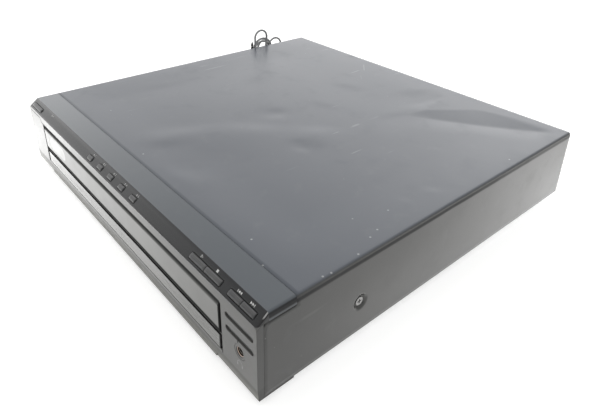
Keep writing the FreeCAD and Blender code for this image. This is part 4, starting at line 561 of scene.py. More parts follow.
def door_plastic():
    """Tray door: grey under its dust, with painted shade round its edges, rubbed hairlines and one pale patch."""
    look = Finish("door_plastic")
    x, y, z = look.axes()
    base = look.clouded(50.0, (0.190, 0.191, 0.184), (0.224, 0.225, 0.216))
    base = dust(look, base, 1.3)
    # Painted shade: near-black along the door's right end, its lower edge and its top bevel.
    sides = look.larger(look.step(x, 170.4, 170.9), look.step(z, 39.0, 38.4))
    shade = look.larger(sides, look.step(z, 57.8, 61.5) * look.step(y, FRONT_Y + 6.0, FRONT_Y + 4.0))
    base = look.blend(shade * 0.97, base, (0.006, 0.006, 0.006))
    lines = hairlines(look, 4.0, 0.2, look.stretched(1.0, 1.0, 3.0))
    base = look.blend(lines * 0.2, base, (0.35, 0.35, 0.34))
    past = look.larger(abs(x + 136.0) - 15.0, 0.0)
    patch = look.length(past, z - 49.0)
    patch = look.step(patch, 7.6, 5.8) * look.step(y, FRONT_Y + 1, FRONT_Y)
    base = look.blend(patch * (0.25 + look.noise(12.0, 3.0) * 0.3), base, (0.75, 0.75, 0.73))
    roughness = 0.26 + look.noise(14.0, 3.0) * 0.14 + shade * 0.6
    normal = look.bump(look.noise(0.5, 2.0), 0.015, 0.5)
    return look.close(base, roughness, Normal=normal, IOR=1.40)


def smoked_window():
    """Window plate: smoked clear plastic, dark and glossy, with dust, fine wiping marks and painted shade along its
    ends and top edge.
    """
    look = Finish("smoked_window")
    x, _, z = look.axes()
    base = look.clouded(40.0, (0.190, 0.191, 0.183), (0.226, 0.226, 0.217))
    base = dust(look, base, 1.5)
    rust = look.step(look.cells(3.4), 0.16, 0.07) * look.step(look.noise(26.0, 3.0), 0.55, 0.66)
    base = look.blend(rust * 0.45, base, (0.20, 0.12, 0.08))
    # Painted shade: near-black along the plate's two ends and its top edge.
    edge = look.larger(look.step(abs(x), 170.4, 170.9), look.step(z, 31.9, 32.3))
    base = look.blend(edge * 0.96, base, (0.006, 0.006, 0.006))
    wipes = look.noise(9.0, 3.0, 0.6, look.stretched(0.12, 1.0, 1.6))
    roughness = 0.20 + look.step(wipes, 0.4, 0.75) * 0.16 + edge * 0.6
    normal = look.bump(wipes, 0.006, 0.4)
    return look.close(base, roughness, Normal=normal, IOR=1.40)


def key_plastic():
    """Keys: black plastic, a little lighter than the strip, polished where fingers touch."""
    look = Finish("key_plastic")
    base = look.clouded(6.0, (0.046, 0.047, 0.048), (0.064, 0.065, 0.066))
    base = dust(look, base, 0.7)
    roughness = 0.24 + look.noise(4.0, 2.0) * 0.14
    return look.close(base, roughness, Normal=look.bump(look.noise(0.4, 2.0), 0.01, 0.4))


def moulded(name, dark, light, roughness, grain=0.6, depth=0.02, edge=0.3, dusty=0.0):
    """Moulded plastic or rubber: two near shades in soft clouds, fine grain, softened edges."""
    look = Finish(name)
    base = look.clouded(18.0, dark, light)
    if dusty:
        base = dust(look, base, dusty)
    rough = roughness + (look.noise(7.0, 3.0) - 0.5) * 0.12
    normal = look.bump(look.noise(grain, 2.0), depth, 0.7, look.rounded(edge))
    return look.close(base, rough, Normal=normal)


def plated_steel():
    """Zinc-plated steel sheet: crystal-like patches of slightly different brightness under a soft sheen."""
    look = Finish("chassis_steel")
    patches = look.cells(7.0, output="Color")
    value = look.node("ShaderNodeSeparateColor", None, {0: patches})
    base = look.blend(value, (0.50, 0.51, 0.52), (0.62, 0.63, 0.63))
    base = look.blend(look.step(look.noise(45.0, 4.0), 0.5, 0.8) * 0.35, base, (0.36, 0.35, 0.33))
    roughness = 0.30 + value * 0.12 + look.noise(30.0, 3.0) * 0.10
    return look.close(base, roughness, Metallic=0.85, Normal=look.bump(look.noise(1.2, 2.0), 0.01, 0.5))


def brushed_metal(name, dark, light, roughness, stretch=(1.0, 1.0, 12.0)):
    """Drawn or turned metal with fine lines along one direction."""
    look = Finish(name)
    lines = look.noise(0.9, 3.0, 0.6, look.stretched(*stretch))
    base = look.blend(lines, dark, light)
    rough = roughness + look.noise(6.0, 2.0) * 0.12
    return look.close(base, rough, Metallic=1.0, Normal=look.bump(lines, 0.008, 0.5, look.rounded(0.3)))


def circuit_board(name, mask_dark, mask_light, track):
    """Circuit board: coated sheet with straight copper tracks, round solder pads and small holes."""
    look = Finish(name)
    x, y, _ = look.axes()
    runs_x = look.step(abs(look.maths("FRACT", y / 2.54) - 0.5), 0.16, 0.10)
    runs_y = look.step(abs(look.maths("FRACT", x / 2.54) - 0.5), 0.16, 0.10)
    where = look.step(look.noise(17.0, 1.0), 0.47, 0.49)
    gaps = look.step(look.cells(9.0), 0.22, 0.26)
    tracks = (runs_x * where + runs_y * (1.0 - where)) * gaps
    pads = look.step(look.cells(5.0), 0.20, 0.16)
    base = look.clouded(30.0, mask_dark, mask_light)
    base = look.blend(tracks * 0.55, base, track)
    base = look.blend(pads, base, (0.52, 0.52, 0.50))
    normal = look.bump(tracks * 0.5 + pads, 0.05, 0.8)
    return look.close(base, 0.38 - pads * 0.08, Metallic=pads * 0.8, Normal=normal)


def chips():
    """Black chip and capacitor bodies with a paler printed side stripe on the tall round ones."""
    look = Finish("board_chips")
    x, _, z = look.axes()
    tall = look.step(z, 19.0, 19.4)
    crown = look.step(look.noise(3.0, 1.0), 0.4, 0.6)
    base = look.blend(tall, (0.025, 0.025, 0.027), (0.03, 0.045, 0.10))
    base = look.blend(look.step(look.maths("FRACT", x / 11.0), 0.8, 0.82) * tall, base, (0.45, 0.47, 0.50))
    return look.close(base, 0.40 + crown * 0.1, Normal=look.bump(look.noise(0.5), 0.02, 0.6, look.rounded(0.3)))


# Phono sockets: left and lower limit of the first one's field (x, z), and the fields' width and height.
PHONO_X, PHONO_Z, PHONO_WIDE, PHONO_HIGH = 91.5, 22.0, 17.0, 20.0


def phono_sockets():
    """Phono sockets: black blocks, coloured collars by column and row, and nickel sleeves."""
    look = Finish("av_jacks")
    x, y, z = look.axes()
    column = (x - PHONO_X) / PHONO_WIDE
    across = look.maths("FRACT", column) * PHONO_WIDE - PHONO_WIDE / 2
    up = look.maths("FRACT", (z - PHONO_Z) / PHONO_HIGH) * PHONO_HIGH - PHONO_HIGH / 2
    radius = look.length(across, up)
    outside = look.step(y, 197.3, 197.6)
    collar = outside * look.step(radius, 4.15, 4.3)
    sleeve = look.step(radius, 4.25, 4.15) * look.step(y, 196.0, 197.0)
    upper = look.step(z, 41.5, 42.5)
    tone = look.blend(upper, (0.50, 0.03, 0.03), (0.72, 0.71, 0.67))
    tone = look.blend(look.step(column, 1.98, 2.02), tone, (0.75, 0.48, 0.03))
    tone = look.blend(look.step(column, 2.98, 3.02), tone, look.blend(upper, (0.04, 0.09, 0.42), (0.04, 0.30, 0.08)))
    tone = look.blend(look.step(column, 3.98, 4.02), tone, look.blend(upper, (0.02, 0.02, 0.02), (0.65, 0.22, 0.03)))
    base = look.blend(collar, (0.022, 0.022, 0.022), tone)
    base = look.blend(sleeve, base, (0.66, 0.64, 0.60))
    normal = look.bump(look.noise(0.6), 0.015, 0.5, look.rounded(0.25))
    return look.close(base, 0.42 - sleeve * 0.2, Metallic=sleeve, Normal=normal)


def ribbon():
    """Flat ribbon cable: white insulation with a groove between its wires and one blue edge wire."""
    look = Finish("ribbon_white")
    x, _, _ = look.axes()
    wires = abs(look.maths("FRACT", x / 1.27) - 0.5)
    base = look.blend(look.step(wires, 0.36, 0.48), (0.62, 0.62, 0.60), (0.40, 0.40, 0.39))
    base = look.blend(look.step(x, 97.4, 97.2), base, (0.08, 0.12, 0.40))
    return look.close(base, 0.5, Normal=look.bump(1.0 - wires * 2.0, 0.25, 0.9))


def cord_rubber():
    """Cord: grey vinyl, a little darker and dirtier in patches, with a fine drawn grain."""
    look = Finish("cord_grey")
    base = look.clouded(14.0, (0.27, 0.275, 0.28), (0.43, 0.435, 0.44))
    base = look.blend(look.step(look.noise(8.0, 3.0), 0.52, 0.7) * 0.4, base, (0.17, 0.17, 0.17))
    rough = 0.42 + look.noise(5.0, 3.0) * 0.14
    return look.close(base, rough, Normal=look.bump(look.noise(0.5, 2.0), 0.03, 0.7))


def carousel_plastic():
    """Carousel: black moulded plastic with faint turning marks round its centre and rub marks in the wells."""
    look = Finish("carousel_plastic")
    x, y, _ = look.axes()
    radius = look.length(x, y - CAROUSEL_Y)
    rings = look.noise(1.0, 2.0, 0.5, look.node("ShaderNodeCombineXYZ", None, {0: radius * 0.6, 1: 0.0, 2: 0.0}))
    base = look.clouded(30.0, (0.030, 0.030, 0.031), (0.042, 0.042, 0.043))
    base = dust(look, base, 0.6)
    base = look.blend(hairlines(look, 4.0, 0.5) * 0.25, base, (0.2, 0.2, 0.2))
    normal = look.bump(rings * 0.5 + look.noise(0.6) * 0.5, 0.02, 0.6, look.rounded(0.5))
    return look.close(base, 0.36 + look.noise(9.0) * 0.12, Normal=normal)


def side_screws():
    """Screws: bright zinc on the two side screws, black on those along the back."""
    look = Finish("case_screws")
    x, _, _ = look.axes()
    sides = look.step(abs(x), 204.0, 205.0)
    tone = look.clouded(1.5, (0.20, 0.20, 0.195), (0.32, 0.315, 0.31))
    base = look.blend(sides, (0.03, 0.03, 0.03), tone)
    normal = look.bump(look.noise(0.4), 0.01, 0.5, look.rounded(0.3))
    return look.close(base, 0.40 - sides * 0.12, Metallic=0.3 + sides * 0.65, Normal=normal)


def headphone_metal():
    """Headphone socket: nickel round its bore, black plastic behind."""
    look = Finish("headphone_jack")
    x, _, z = look.axes()
    radius = look.length(x - SOCKET_X, z - SOCKET_Z)
    ring = look.step(radius, 3.85, 3.6)
    base = look.blend(ring, (0.025, 0.025, 0.025), (0.50, 0.47, 0.43))
    normal = look.bump(look.noise(0.5), 0.01, 0.5, look.rounded(0.3))
    return look.close(base, 0.42 - ring * 0.22, Metallic=ring, Normal=normal)


def glass(name, tone, roughness):
    """Coated glass seen dark, with a faint stain that shifts over it."""
    look = Finish(name)
    base = look.blend(look.noise(5.0, 2.0), tone, tuple(part * 1.6 + 0.01 for part in tone))
    return look.close(base, roughness + look.noise(3.0) * 0.04, Coat_Weight=1.0, Normal=look.rounded(0.3))


finishes = {
    "cover_paint": cover_paint(),
    "bezel_plastic": front_moulding(),
    "door_plastic": door_plastic(),
    "smoked_window": smoked_window(),
    "key_plastic": key_plastic(),
    "chassis_steel": plated_steel(),
    "rear_paint": moulded("rear_paint", (0.040, 0.042, 0.045), (0.052, 0.054, 0.058), 0.46, 0.8, 0.03, 0.3, 0.6),
    "rubber": moulded("rubber", (0.018, 0.018, 0.018), (0.030, 0.030, 0.029), 0.72, 0.7, 0.05, 0.5, 1.2),
    "dark_plastic": moulded("dark_plastic", (0.026, 0.026, 0.027), (0.040, 0.040, 0.041), 0.48, 0.5, 0.03),
    "grey_plastic": moulded("grey_plastic", (0.055, 0.056, 0.058), (0.072, 0.073, 0.075), 0.45, 0.6, 0.03, 0.5, 0.4),
    "white_plastic": moulded("white_plastic", (0.66, 0.64, 0.58), (0.74, 0.72, 0.67), 0.42, 0.5, 0.015, 0.25),
    "board_green": circuit_board("board_green", (0.012, 0.075, 0.030), (0.018, 0.105, 0.042), (0.05, 0.19, 0.06)),
    "board_brown": circuit_board("board_brown", (0.20, 0.105, 0.035), (0.27, 0.150, 0.055), (0.33, 0.20, 0.08)),
    "motor_steel": brushed_metal("motor_steel", (0.46, 0.46, 0.46), (0.62, 0.62, 0.61), 0.26),
    "bright_chrome": brushed_metal("bright_chrome", (0.66, 0.66, 0.66), (0.80, 0.80, 0.80), 0.10, (1.0, 8.0, 1.0)),
    "lens_glass": glass("lens_glass", (0.03, 0.05, 0.09), 0.05),
    "tube_glass": glass("tube_glass", (0.012, 0.020, 0.018), 0.08),
    "ribbon_white": ribbon(),
    "cord_grey": cord_rubber(),
    "black_screw": side_screws(),
}
own_finishes = {
    "av_jacks": phono_sockets(),
    "board_chips": chips(),
    "headphone_jack": headphone_metal(),
    "turntable": carousel_plastic(),
}
for node_name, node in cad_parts.items():
    for slot in node.material_slots:
        slot.material = own_finishes.get(node_name) or finishes[slot.material.name.split(".")[0]]
cord.data.materials.append(finishes["cord_grey"])


# Cover


# Lower edge of the cover's sides, and behind the front the seam and the tongue's start, with the tongue's top.
SECTION_LOW, SEAM_P, TONGUE_P, TONGUE_TOP = 8.8, 32.4, 5.68, 72.6
# Middle of the side screw's dish: distance behind the front, and height.
DISH_P, DISH_Z = 94.3, 37.2


def top_relief(x, p):
    """Height of the cover's top over a grid, from -3 to 0, falling to the sheet's own level at its edges.

    The wanted tone is a sum of soft ellipses and of a creased wedge. Light and dark come from the slope along
    the line of sight, so the height is the sum whose slope along that line is minus the tone: it is divided
    by that slope's factor in the wave (Fourier) form, with a little damping across the line."""
    size, step = 512, 1.0
    gx = np.arange(size) * step - 256.0
    gp = np.arange(size) * step - 50.0
    X, P = np.meshgrid(gx, gp, indexing="xy")
    tone = np.zeros_like(X)
    for mark_x, mark_p, half_length, half_width, turn, amount in TOP_MARKS:
        c, s = math.cos(math.radians(turn)), math.sin(math.radians(turn))
        along, across = (X - mark_x) * c + (P - mark_p) * s, (P - mark_p) * c - (X - mark_x) * s
        tone += amount * np.exp(-((along / half_length) ** 2 + (across / half_width) ** 2) * 1.3)
    left = (X - 78) - (P - 305) * (20 / 90)
    right = (P - 305) - (X - 78) * (87 / 127)
    inside = smooth(left, -2.0, 3.0) * smooth(right, -3.0, 3.0) * smooth(P, 300, 330)
    below = smooth(-right, -3.0, 3.0) * smooth(-right, 46, 4) * smooth(X, 84, 120)
    ridge = smooth(left, 2.0, -3.0) * smooth(left, -26.0, -14.0) * smooth(P, 312, 345)
    tone += -1.0 * inside + 0.75 * below + 0.8 * ridge
    rim = smooth(np.abs(X), 213, 196) * smooth(P, 34, 48) * smooth(P, 404, 388)
    tone *= rim
    tone -= rim * tone.sum() / rim.sum()
    waves = np.fft.fftfreq(size, step) * 2 * math.pi
    KX, KP = np.meshgrid(waves, waves, indexing="xy")
    sight, beside = KX * -0.751 + KP * 0.660, KX * 0.660 + KP * 0.751
    by_wave = 1j * sight / (sight**2 + 0.10 * beside**2 + 2e-4)
    height = np.real(np.fft.ifft2(np.fft.fft2(tone) * by_wave)) * 0.085
    height = height * smooth(np.abs(X), 214, 190) * smooth(P, 33, 56) * smooth(P, COVER_END, 380)
    i = np.clip((p - gp[0]) / step, 0, size - 1.001)
    j = np.clip((x - gx[0]) / step, 0, size - 1.001)
    i0, j0 = i.astype(int), j.astype(int)
    fi, fj = i - i0, j - j0
    level = (height[i0, j0] * (1 - fj) + height[i0, j0 + 1] * fj) * (1 - fi)
    level += (height[i0 + 1, j0] * (1 - fj) + height[i0 + 1, j0 + 1] * fj) * fi
    sag = smooth(np.abs(x), 214, 150) * smooth(p, 32.5, 90) * smooth(p, COVER_END, 300)
    return np.minimum(level - sag, 0.0)


def cover_section():
    """Section of the cover as columns (x, z, out x, out z): up the left side, round the bend, across, down."""
    flat_x, flat_z = HALF_WIDTH - BEND, CASE_TOP - BEND
    side = spaced((SECTION_LOW, 27, 3.6), (27, 47.5, 0.7), (47.5, TONGUE_TOP, 3.5), (TONGUE_TOP, flat_z, 2.3))
    turn = np.linspace(0, math.pi / 2, 8)[1:-1]
    top = spaced((-flat_x, 20, 4.0), (20, flat_x, 2.4))
    left = np.column_stack([np.full_like(side, -HALF_WIDTH), side, -np.ones_like(side), np.zeros_like(side)])
    bend = np.column_stack([-flat_x - BEND * np.cos(turn), flat_z + BEND * np.sin(turn), -np.cos(turn), np.sin(turn)])
    flat = np.column_stack([top, np.full_like(top, CASE_TOP), np.zeros_like(top), np.ones_like(top)])
    return np.concatenate([left, bend, flat, bend[::-1] * (-1, 1, -1, 1), left[::-1] * (-1, 1, -1, 1)])


def bent_cover():
    """One bent sheet: section times length, sunk by the top's relief and by a round dish on each side.

    The dish's floor is flat inside 3.9 mm and its wall rises by a cubic to the sheet at 7.5 mm. In front of the
    seam each side carries on as a tongue whose front edge is set back by a quarter round near its top."""
    section = cover_section()
    p = spaced((SEAM_P, 84, 3.6), (84, 104.5, 0.7), (104.5, 150, 3.4), (150, COVER_END, 2.4))
    x, z, out_x, out_z = (section[None, :, i] + 0 * p[:, None] for i in range(4))
    P = p[:, None] + 0 * x
    relief = top_relief(x, P) * smooth(out_z, 0.9, 1.0)
    distance = np.hypot(P - DISH_P, z - DISH_Z)
    dish = -3.0 * smooth(distance, 7.5, 3.9) * (np.abs(out_x) > 0.99)
    oil_can = -0.35 * np.abs(out_x) * np.exp(-(((P - 250) / 90) ** 2 + ((z - 42) / 22) ** 2))
    oil_can -= 0.25 * np.abs(out_x) * np.exp(-(((P - 200) / 14) ** 2 + ((z - 74) / 9) ** 2))
    push = relief + dish + oil_can
    points = np.stack([x + out_x * push, FRONT_Y + P, z + out_z * push], -1)
    parts = [(points, grid_faces(*x.shape))]
    rows = spaced((0, 1, 0.12))
    sides = section[section[:, 1] <= TONGUE_TOP + 0.01]
    for sign in (-1, 1):
        edge = sides[sides[:, 0] * sign > 0]
        set_back = 1.0 - np.sqrt(np.maximum(1.0 - np.clip(edge[:, 1] - (TONGUE_TOP - 1.0), 0, 1.0) ** 2, 0))
        start = TONGUE_P + set_back
        q = start[None] + rows[:, None] * (SEAM_P - start)[None]
        tongue = np.stack([0 * q + edge[None, :, 0], FRONT_Y + q, 0 * q + edge[None, :, 1]], -1)
        parts.append((tongue, grid_faces(*q.shape)))
    cover = make_piece("bent_cover", parts, "case", "cover_paint", ["top_cover"], 40.0)
    thick = cover.modifiers.new("sheet", "SOLIDIFY")
    thick.thickness, thick.offset = SHEET * MM, -1.0


bent_cover()


# Front moulding, door and keys


# Edges sharper than this many degrees are rounded.
SHARP = 30.0


def softened(node, name, body, slot, width, corners=None):
    """Copy of a CAD node: its triangles merged, its flat faces joined, and its edges rounded to a width."""
    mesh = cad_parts[node].data.copy()
    mesh.name = name
    shape = bmesh.new()
    shape.from_mesh(mesh)
    bmesh.ops.remove_doubles(shape, verts=shape.verts, dist=0.004 * MM)
    bmesh.ops.dissolve_limit(shape, angle_limit=math.radians(0.5), verts=shape.verts, edges=shape.edges)
    if corners:
        add_ribs(shape)
        level, sloped = corners(shape)
        bmesh.ops.bevel(
            shape, geom=level + sloped, offset=2.8 * MM, segments=6, profile=0.5, affect="EDGES", clamp_overlap=False
        )
    shape.to_mesh(mesh)
    shape.free()
    for layer in [layer for layer in mesh.attributes if layer.name == "custom_normal"]:
        mesh.attributes.remove(layer)
    shade_smooth(mesh, SHARP)
    piece = show(name, mesh, body, own_finishes.get(node, finishes[slot]), [node])
    edge = piece.modifiers.new("edges", "BEVEL")
    edge.width, edge.segments, edge.limit_method = width * MM, 3, "ANGLE"
    edge.angle_limit, edge.use_clamp_overlap, edge.harden_normals = math.radians(SHARP), False, True


def add_ribs(shape):
    """Low rib along the foot of the front lip, and a light stop behind the gap over the tray's door: each is a
    section of (depth, height) carried from one x to another and closed at both ends."""
    foot = [(0.7, 10.2), (0.1, 9.0), (0.1, 7.2), (2.6, 7.2), (2.6, 10.2)]
    stop = [(2.0, 65.4), (2.0, 64.2), (3.7, 64.2), (3.7, 62.05), (4.7, 62.05), (4.7, 65.4)]
    for section, low_x, high_x in ((foot, -168.0, 165.5), (stop, -173.5, 173.5)):
        ends = [[shape.verts.new(Vector((x, FRONT_Y + p, z)) * MM) for p, z in section] for x in (low_x, high_x)]
        shape.faces.new(ends[0])
        shape.faces.new(ends[1][::-1])
        for i in range(len(section)):
            j = (i + 1) % len(section)
            shape.faces.new((ends[0][j], ends[0][i], ends[1][i], ends[1][j]))


def shell_corners(shape):
    """The moulding's edges along the case's two upper corners: level ones along the band, and sloped ones."""
    level, sloped = [], []
    for edge in shape.edges:
        a, b = (vertex.co / MM for vertex in edge.verts)
        if abs(abs(a.x) - HALF_WIDTH) < 0.01 and abs(a.x - b.x) < 0.01 and min(a.z, b.z) > 72.5:
            if min(a.z, b.z) > CASE_TOP - 0.1:
                level.append(edge)
            elif max(a.y, b.y) < FRONT_Y + 9.7 and abs(a.z - b.z) > 5:
                sloped.append(edge)
    return level, sloped


def on_strip(x, slope, out):
    """Point of the sloped strip: across the case, up the slope from its lower edge, and out of its face."""
    y = FRONT_Y + slope * math.cos(STRIP_ANGLE) - out * math.sin(STRIP_ANGLE)
    z = STRIP_LOW + slope * math.sin(STRIP_ANGLE) + out * math.cos(STRIP_ANGLE)
    return np.stack(np.broadcast_arrays(x, y, z), -1)


def key_cap(key, middle, width):
    """Crowned bar key: over its outline the top is 0.42 + 0.58 (1 - v^2) mm, v from -1 to 1 up the slope, times a
    quarter round of 0.5 mm inward from every edge. It closes flat underneath and keeps the plunger."""
    half_x, half_s, edge = width / 2, 2.2, 0.5
    ease = edge * (1 - np.cos(np.linspace(0, math.pi / 2, 6)))
    u = np.concatenate([ease - half_x, np.linspace(edge - half_x, half_x - edge, 10)[1:-1], (half_x - ease)[::-1]])
    v = np.concatenate([ease - half_s, np.linspace(edge - half_s, half_s - edge, 9)[1:-1], (half_s - ease)[::-1]])
    U, V = np.meshgrid(u, v)
    near_x = np.clip(1 - (half_x - np.abs(U)) / edge, 0, 1)
    near_s = np.clip(1 - (half_s - np.abs(V)) / edge, 0, 1)
    round_it = np.sqrt(np.clip(1 - near_x**2 - near_s**2, 0, 1))
    top = on_strip(middle + U, KEY_ROW + V, (0.42 + 0.58 * (1 - (V / half_s) ** 2)) * round_it)
    rim = np.concatenate([top[0], top[1:, -1], top[-1, -2::-1], top[-2:0:-1, 0]])
    foot = rim + on_strip(0, 0, -2.4) - on_strip(0, 0, 0)
    walls = np.stack([rim, foot, np.repeat(foot.mean(0)[None], len(foot), 0)])
    parts = [(top, grid_faces(*U.shape)), (walls, grid_faces(3, len(rim), close_columns=True))]
    square = ((-1.5, -1.5), (1.5, -1.5), (1.5, 1.5), (-1.5, 1.5))
    post = np.stack([on_strip(middle + a, KEY_ROW + b, np.array([-3.4, -2.35])) for a, b in square], 1)
    parts += [(post, grid_faces(2, 4, close_columns=True)), (post[0], [[0, 1, 2, 3]]), (post[1], [[0, 1, 2, 3]])]
    make_piece(f"{key}_cap", parts, key, "key_plastic", [key], 40.0)


key_cap("power_button", -194.8, 26.4)
for number in range(1, 6):
    key_cap(f"disc_button_{number}", DISC_KEY_X + DISC_KEY_PITCH * (number - 1), 9.0)
RIGHT_KEYS = [("play", 142.0, 19.2), ("stop", 161.6, 19.2), ("previous", 187.3, 14.0), ("next", 201.6, 14.0)]
for key, middle, width in RIGHT_KEYS:
    key_cap(f"{key}_button", middle, width)
for key in ("open_close_button", "disc_skip_button"):
    softened(key, f"{key}_bar", key, "key_plastic", 0.3)
softened("tray_front", "tray_door", "tray", "door_plastic", 0.35)
softened("display_window", "window_plate", "case", "smoked_window", 0.3)
softened("loading_tray", "disc_tray", "tray", "grey_plastic", 0.4)
softened("turntable", "disc_carousel", "carousel", "dark_plastic", 0.4)
softened("feet", "rubber_feet", "case", "rubber", 0.8)
softened("av_jacks", "phono_sockets", "case", "dark_plastic", 0.2)
softened("front_bezel", "moulding_shell", "case", "bezel_plastic", 0.3, corners=shell_corners)


def socket_collar():
    """Collar of the headphone socket: a profile turned round its bore, flush outside and dished to a nickel lip."""
    profile = [
        (5.86, -205.7), (5.9, -206.2), (5.75, -206.34), (4.5, -206.36), (4.2, -206.3), (4.0, -206.1), (3.7, -205.8),
        (3.45, -205.75), (3.3, -205.65), (3.26, -205.4), (3.26, -204.6), (3.5, -204.6), (3.6, -205.5),
    ]
    look = Finish("socket_collar")
    x, _, z = look.axes()
    radius = look.length(x - SOCKET_X, z - SOCKET_Z)
    face = look.clouded(8.0, (0.092, 0.092, 0.088), (0.112, 0.112, 0.107))
    dish = look.step(radius, 4.5, 4.2)
    lip = look.step(radius, 3.85, 3.6)
    base = look.blend(lip, look.blend(dish, face, (0.012, 0.012, 0.012)), (0.38, 0.30, 0.25))
    nickel = look.close(base, 0.36 - lip * 0.18, Metallic=lip, Normal=look.bump(look.noise(0.5, 2.0), 0.01, 0.5))
    points, _ = turned([(r, FRONT_Y - y) for r, y in profile], (SOCKET_X, FRONT_Y, SOCKET_Z), (0, -1, 0), 56)
    part = (points, grid_faces(len(profile), 56, True, True))
    make_piece("socket_collar", [part], "case", "bright_chrome", material=nickel)


socket_collar()


# Marks printed on the strip


# A print starts this far under the strip's face and ends this far above it.
PRINT_LOW, PRINT_HIGH = -0.05, 0.04


def plate(polygon):
    """Thin printed shape: a convex outline on the strip, carried up through its face and closed at both ends."""
    polygon = np.asarray(polygon, float)
    rings = np.stack([on_strip(polygon[:, 0], polygon[:, 1], out) for out in (PRINT_LOW, PRINT_HIGH)])
    fan = np.arange(1, len(polygon) - 1)
    cap = np.column_stack([0 * fan, fan, fan + 1])
    return [(rings, grid_faces(2, len(polygon), close_columns=True)), (rings[0], cap), (rings[1], cap)]


def bar(x, s, half_x, half_s):
    """Corners of a rectangle on the strip, by its middle and its half sizes."""
    return [(x - half_x, s - half_s), (x + half_x, s - half_s), (x + half_x, s + half_s), (x - half_x, s + half_s)]


def arrow(x, s, size):
    """Triangle that points right, or left where size is below 0."""
    return [(x - size, s - abs(size)), (x + size, s), (x - size, s + abs(size))]


def ring(x, s, radius, width, sides=20, start=0.0, end=360.0):
    """Printed ring or arc: the four corners of its section carried round, an arc closed at both its ends."""
    whole = end - start > 359.0
    turn = np.radians(np.linspace(start, end, sides + 1))[: sides if whole else None]
    inner = radius - width
    corners = [(inner, PRINT_LOW), (radius, PRINT_LOW), (radius, PRINT_HIGH), (inner, PRINT_HIGH)]
    rows = np.stack([on_strip(x + r * np.cos(turn), s + r * np.sin(turn), out) for r, out in corners])
    parts = [(rows, grid_faces(4, len(turn), close_rows=True, close_columns=whole))]
    if not whole:
        parts += [(rows[:, 0], [[0, 1, 2, 3]]), (rows[:, -1], [[0, 1, 2, 3]])]
    return parts


print_paint = moulded("print_paint", (0.50, 0.50, 0.49), (0.62, 0.62, 0.61), 0.5, 0.4, 0.01, 0.05)
MARK_ROW = 9.3
play = [bar(141.1, MARK_ROW, 0.16, 1.0), [(141.02, 10.3), (141.02, 9.95), (143.4, 9.2), (143.4, 9.4)]]
play += [[(141.04, 8.3), (143.42, 9.22), (143.42, 9.38), (141.04, 8.65)]]
stop = [bar(161.7, MARK_ROW, 1.0, 1.0)]
previous = [bar(185.6, MARK_ROW, 0.22, 0.95), arrow(187.0, MARK_ROW, -0.95), arrow(188.95, MARK_ROW, -0.95)]
following = [bar(203.6, MARK_ROW, 0.22, 0.95), arrow(202.2, MARK_ROW, 0.95), arrow(200.25, MARK_ROW, 0.95)]
standby = [bar(-157.8, 9.6, 0.14, 0.65), bar(-155.0, 8.9, 0.7, 0.35)]
marks = [part for outline in play + stop + previous + following + standby for part in plate(outline)]
marks += ring(-157.8, 8.9, 0.95, 0.28, 14, 120, 420)
marks += [part for n in range(5) for part in ring(DISC_KEY_X + 1.3 + DISC_KEY_PITCH * n, 9.2, 0.85, 0.30, 12)]
make_piece("key_symbols", marks, "case", "ribbon_white", material=print_paint)


def disc_number(number):
    """A plain figure beside each disc key, as mesh before it is laid on the strip's slope."""
    text = bpy.data.curves.new(f"number_{number}", "FONT")
    text.body, text.size, text.extrude, text.align_x = str(number), 2.6 * MM, PRINT_HIGH * MM, "CENTER"
    holder = bpy.data.objects.new(f"number_{number}", text)
    collection.objects.link(holder)
    bpy.context.view_layer.update()
    mesh = bpy.data.meshes.new_from_object(holder)
    bpy.data.objects.remove(holder)
    origin = Vector(on_strip(DISC_KEY_X + 3.9 + DISC_KEY_PITCH * (number - 1), 8.35, 0.0)) * MM
    mesh.transform(Matrix.Translation(origin) @ Matrix.Rotation(STRIP_ANGLE, 4, "X"))
    shape = bmesh.new()
    shape.from_mesh(mesh)
    bmesh.ops.remove_doubles(shape, verts=shape.verts, dist=0.002 * MM)
    shape.to_mesh(mesh)
    shape.free()
    show(f"disc_number_{number}", mesh, "case", print_paint)


for number in range(1, 6):
    disc_number(number)


# Cord's relief, plug and tie


def cord_relief():
    """Tapered relief: collars each side of the panel, then a taper with round ribs, turned about the cord's exit."""
    height = np.linspace(7.2, 25.4, 84)
    taper = np.interp(height, (7.2, 25.4), (4.9, 2.35))
    ribs = taper - 0.6 * smooth(np.cos(height * 2 * math.pi / 3.03), 0.1, 0.6)
    head = [(0, 0), (6.2, 0), (6.4, 0.2), (6.4, 2.7), (6.2, 2.9), (4.9, 2.9), (4.9, 4.3), (6.7, 4.3), (7.0, 4.6)]
    head += [(7.0, 5.8), (6.5, 6.3), (5.2, 6.5)]
    profile = np.concatenate([head, np.column_stack([ribs, height]), [(2.3, 25.9), (1.9, 26.2), (0, 26.2)]])
    part = turned(profile, (-172, 193.3, 24), (0, 1, 0), 40)
    grey = finishes["cord_grey"]
    make_piece("cord_relief", [part], "case", "dark_plastic", ["strain_relief"], material=grey)


# Middle of the plug across and up, and its blades from root to tip: y, share of the height, share of the thickness.
PLUG_X, PLUG_Z = -248.5, 6.1
BLADE_ROWS = [(11, 0, 0), (11, 1, 1), (-3.6, 1, 1), (-5.2, 0.86, 0.8), (-6.0, 0.66, 0.45), (-6.0, 0, 0)]


def lofted(stations):
    """Rings of rounded rectangles along -Y: each station is (y, half width, half height, corner), ends closed."""
    rings = []
    for y, half_a, half_b, corner in stations:
        flat = rounded_outline(half_a, half_b, min(corner, half_a, half_b) * 0.999)
        rings.append(np.column_stack([PLUG_X + flat[:, 0], np.full(len(flat), y), PLUG_Z + flat[:, 1]]))
    points = np.stack(rings)
    return points, grid_faces(len(rings), points.shape[1], close_columns=True)


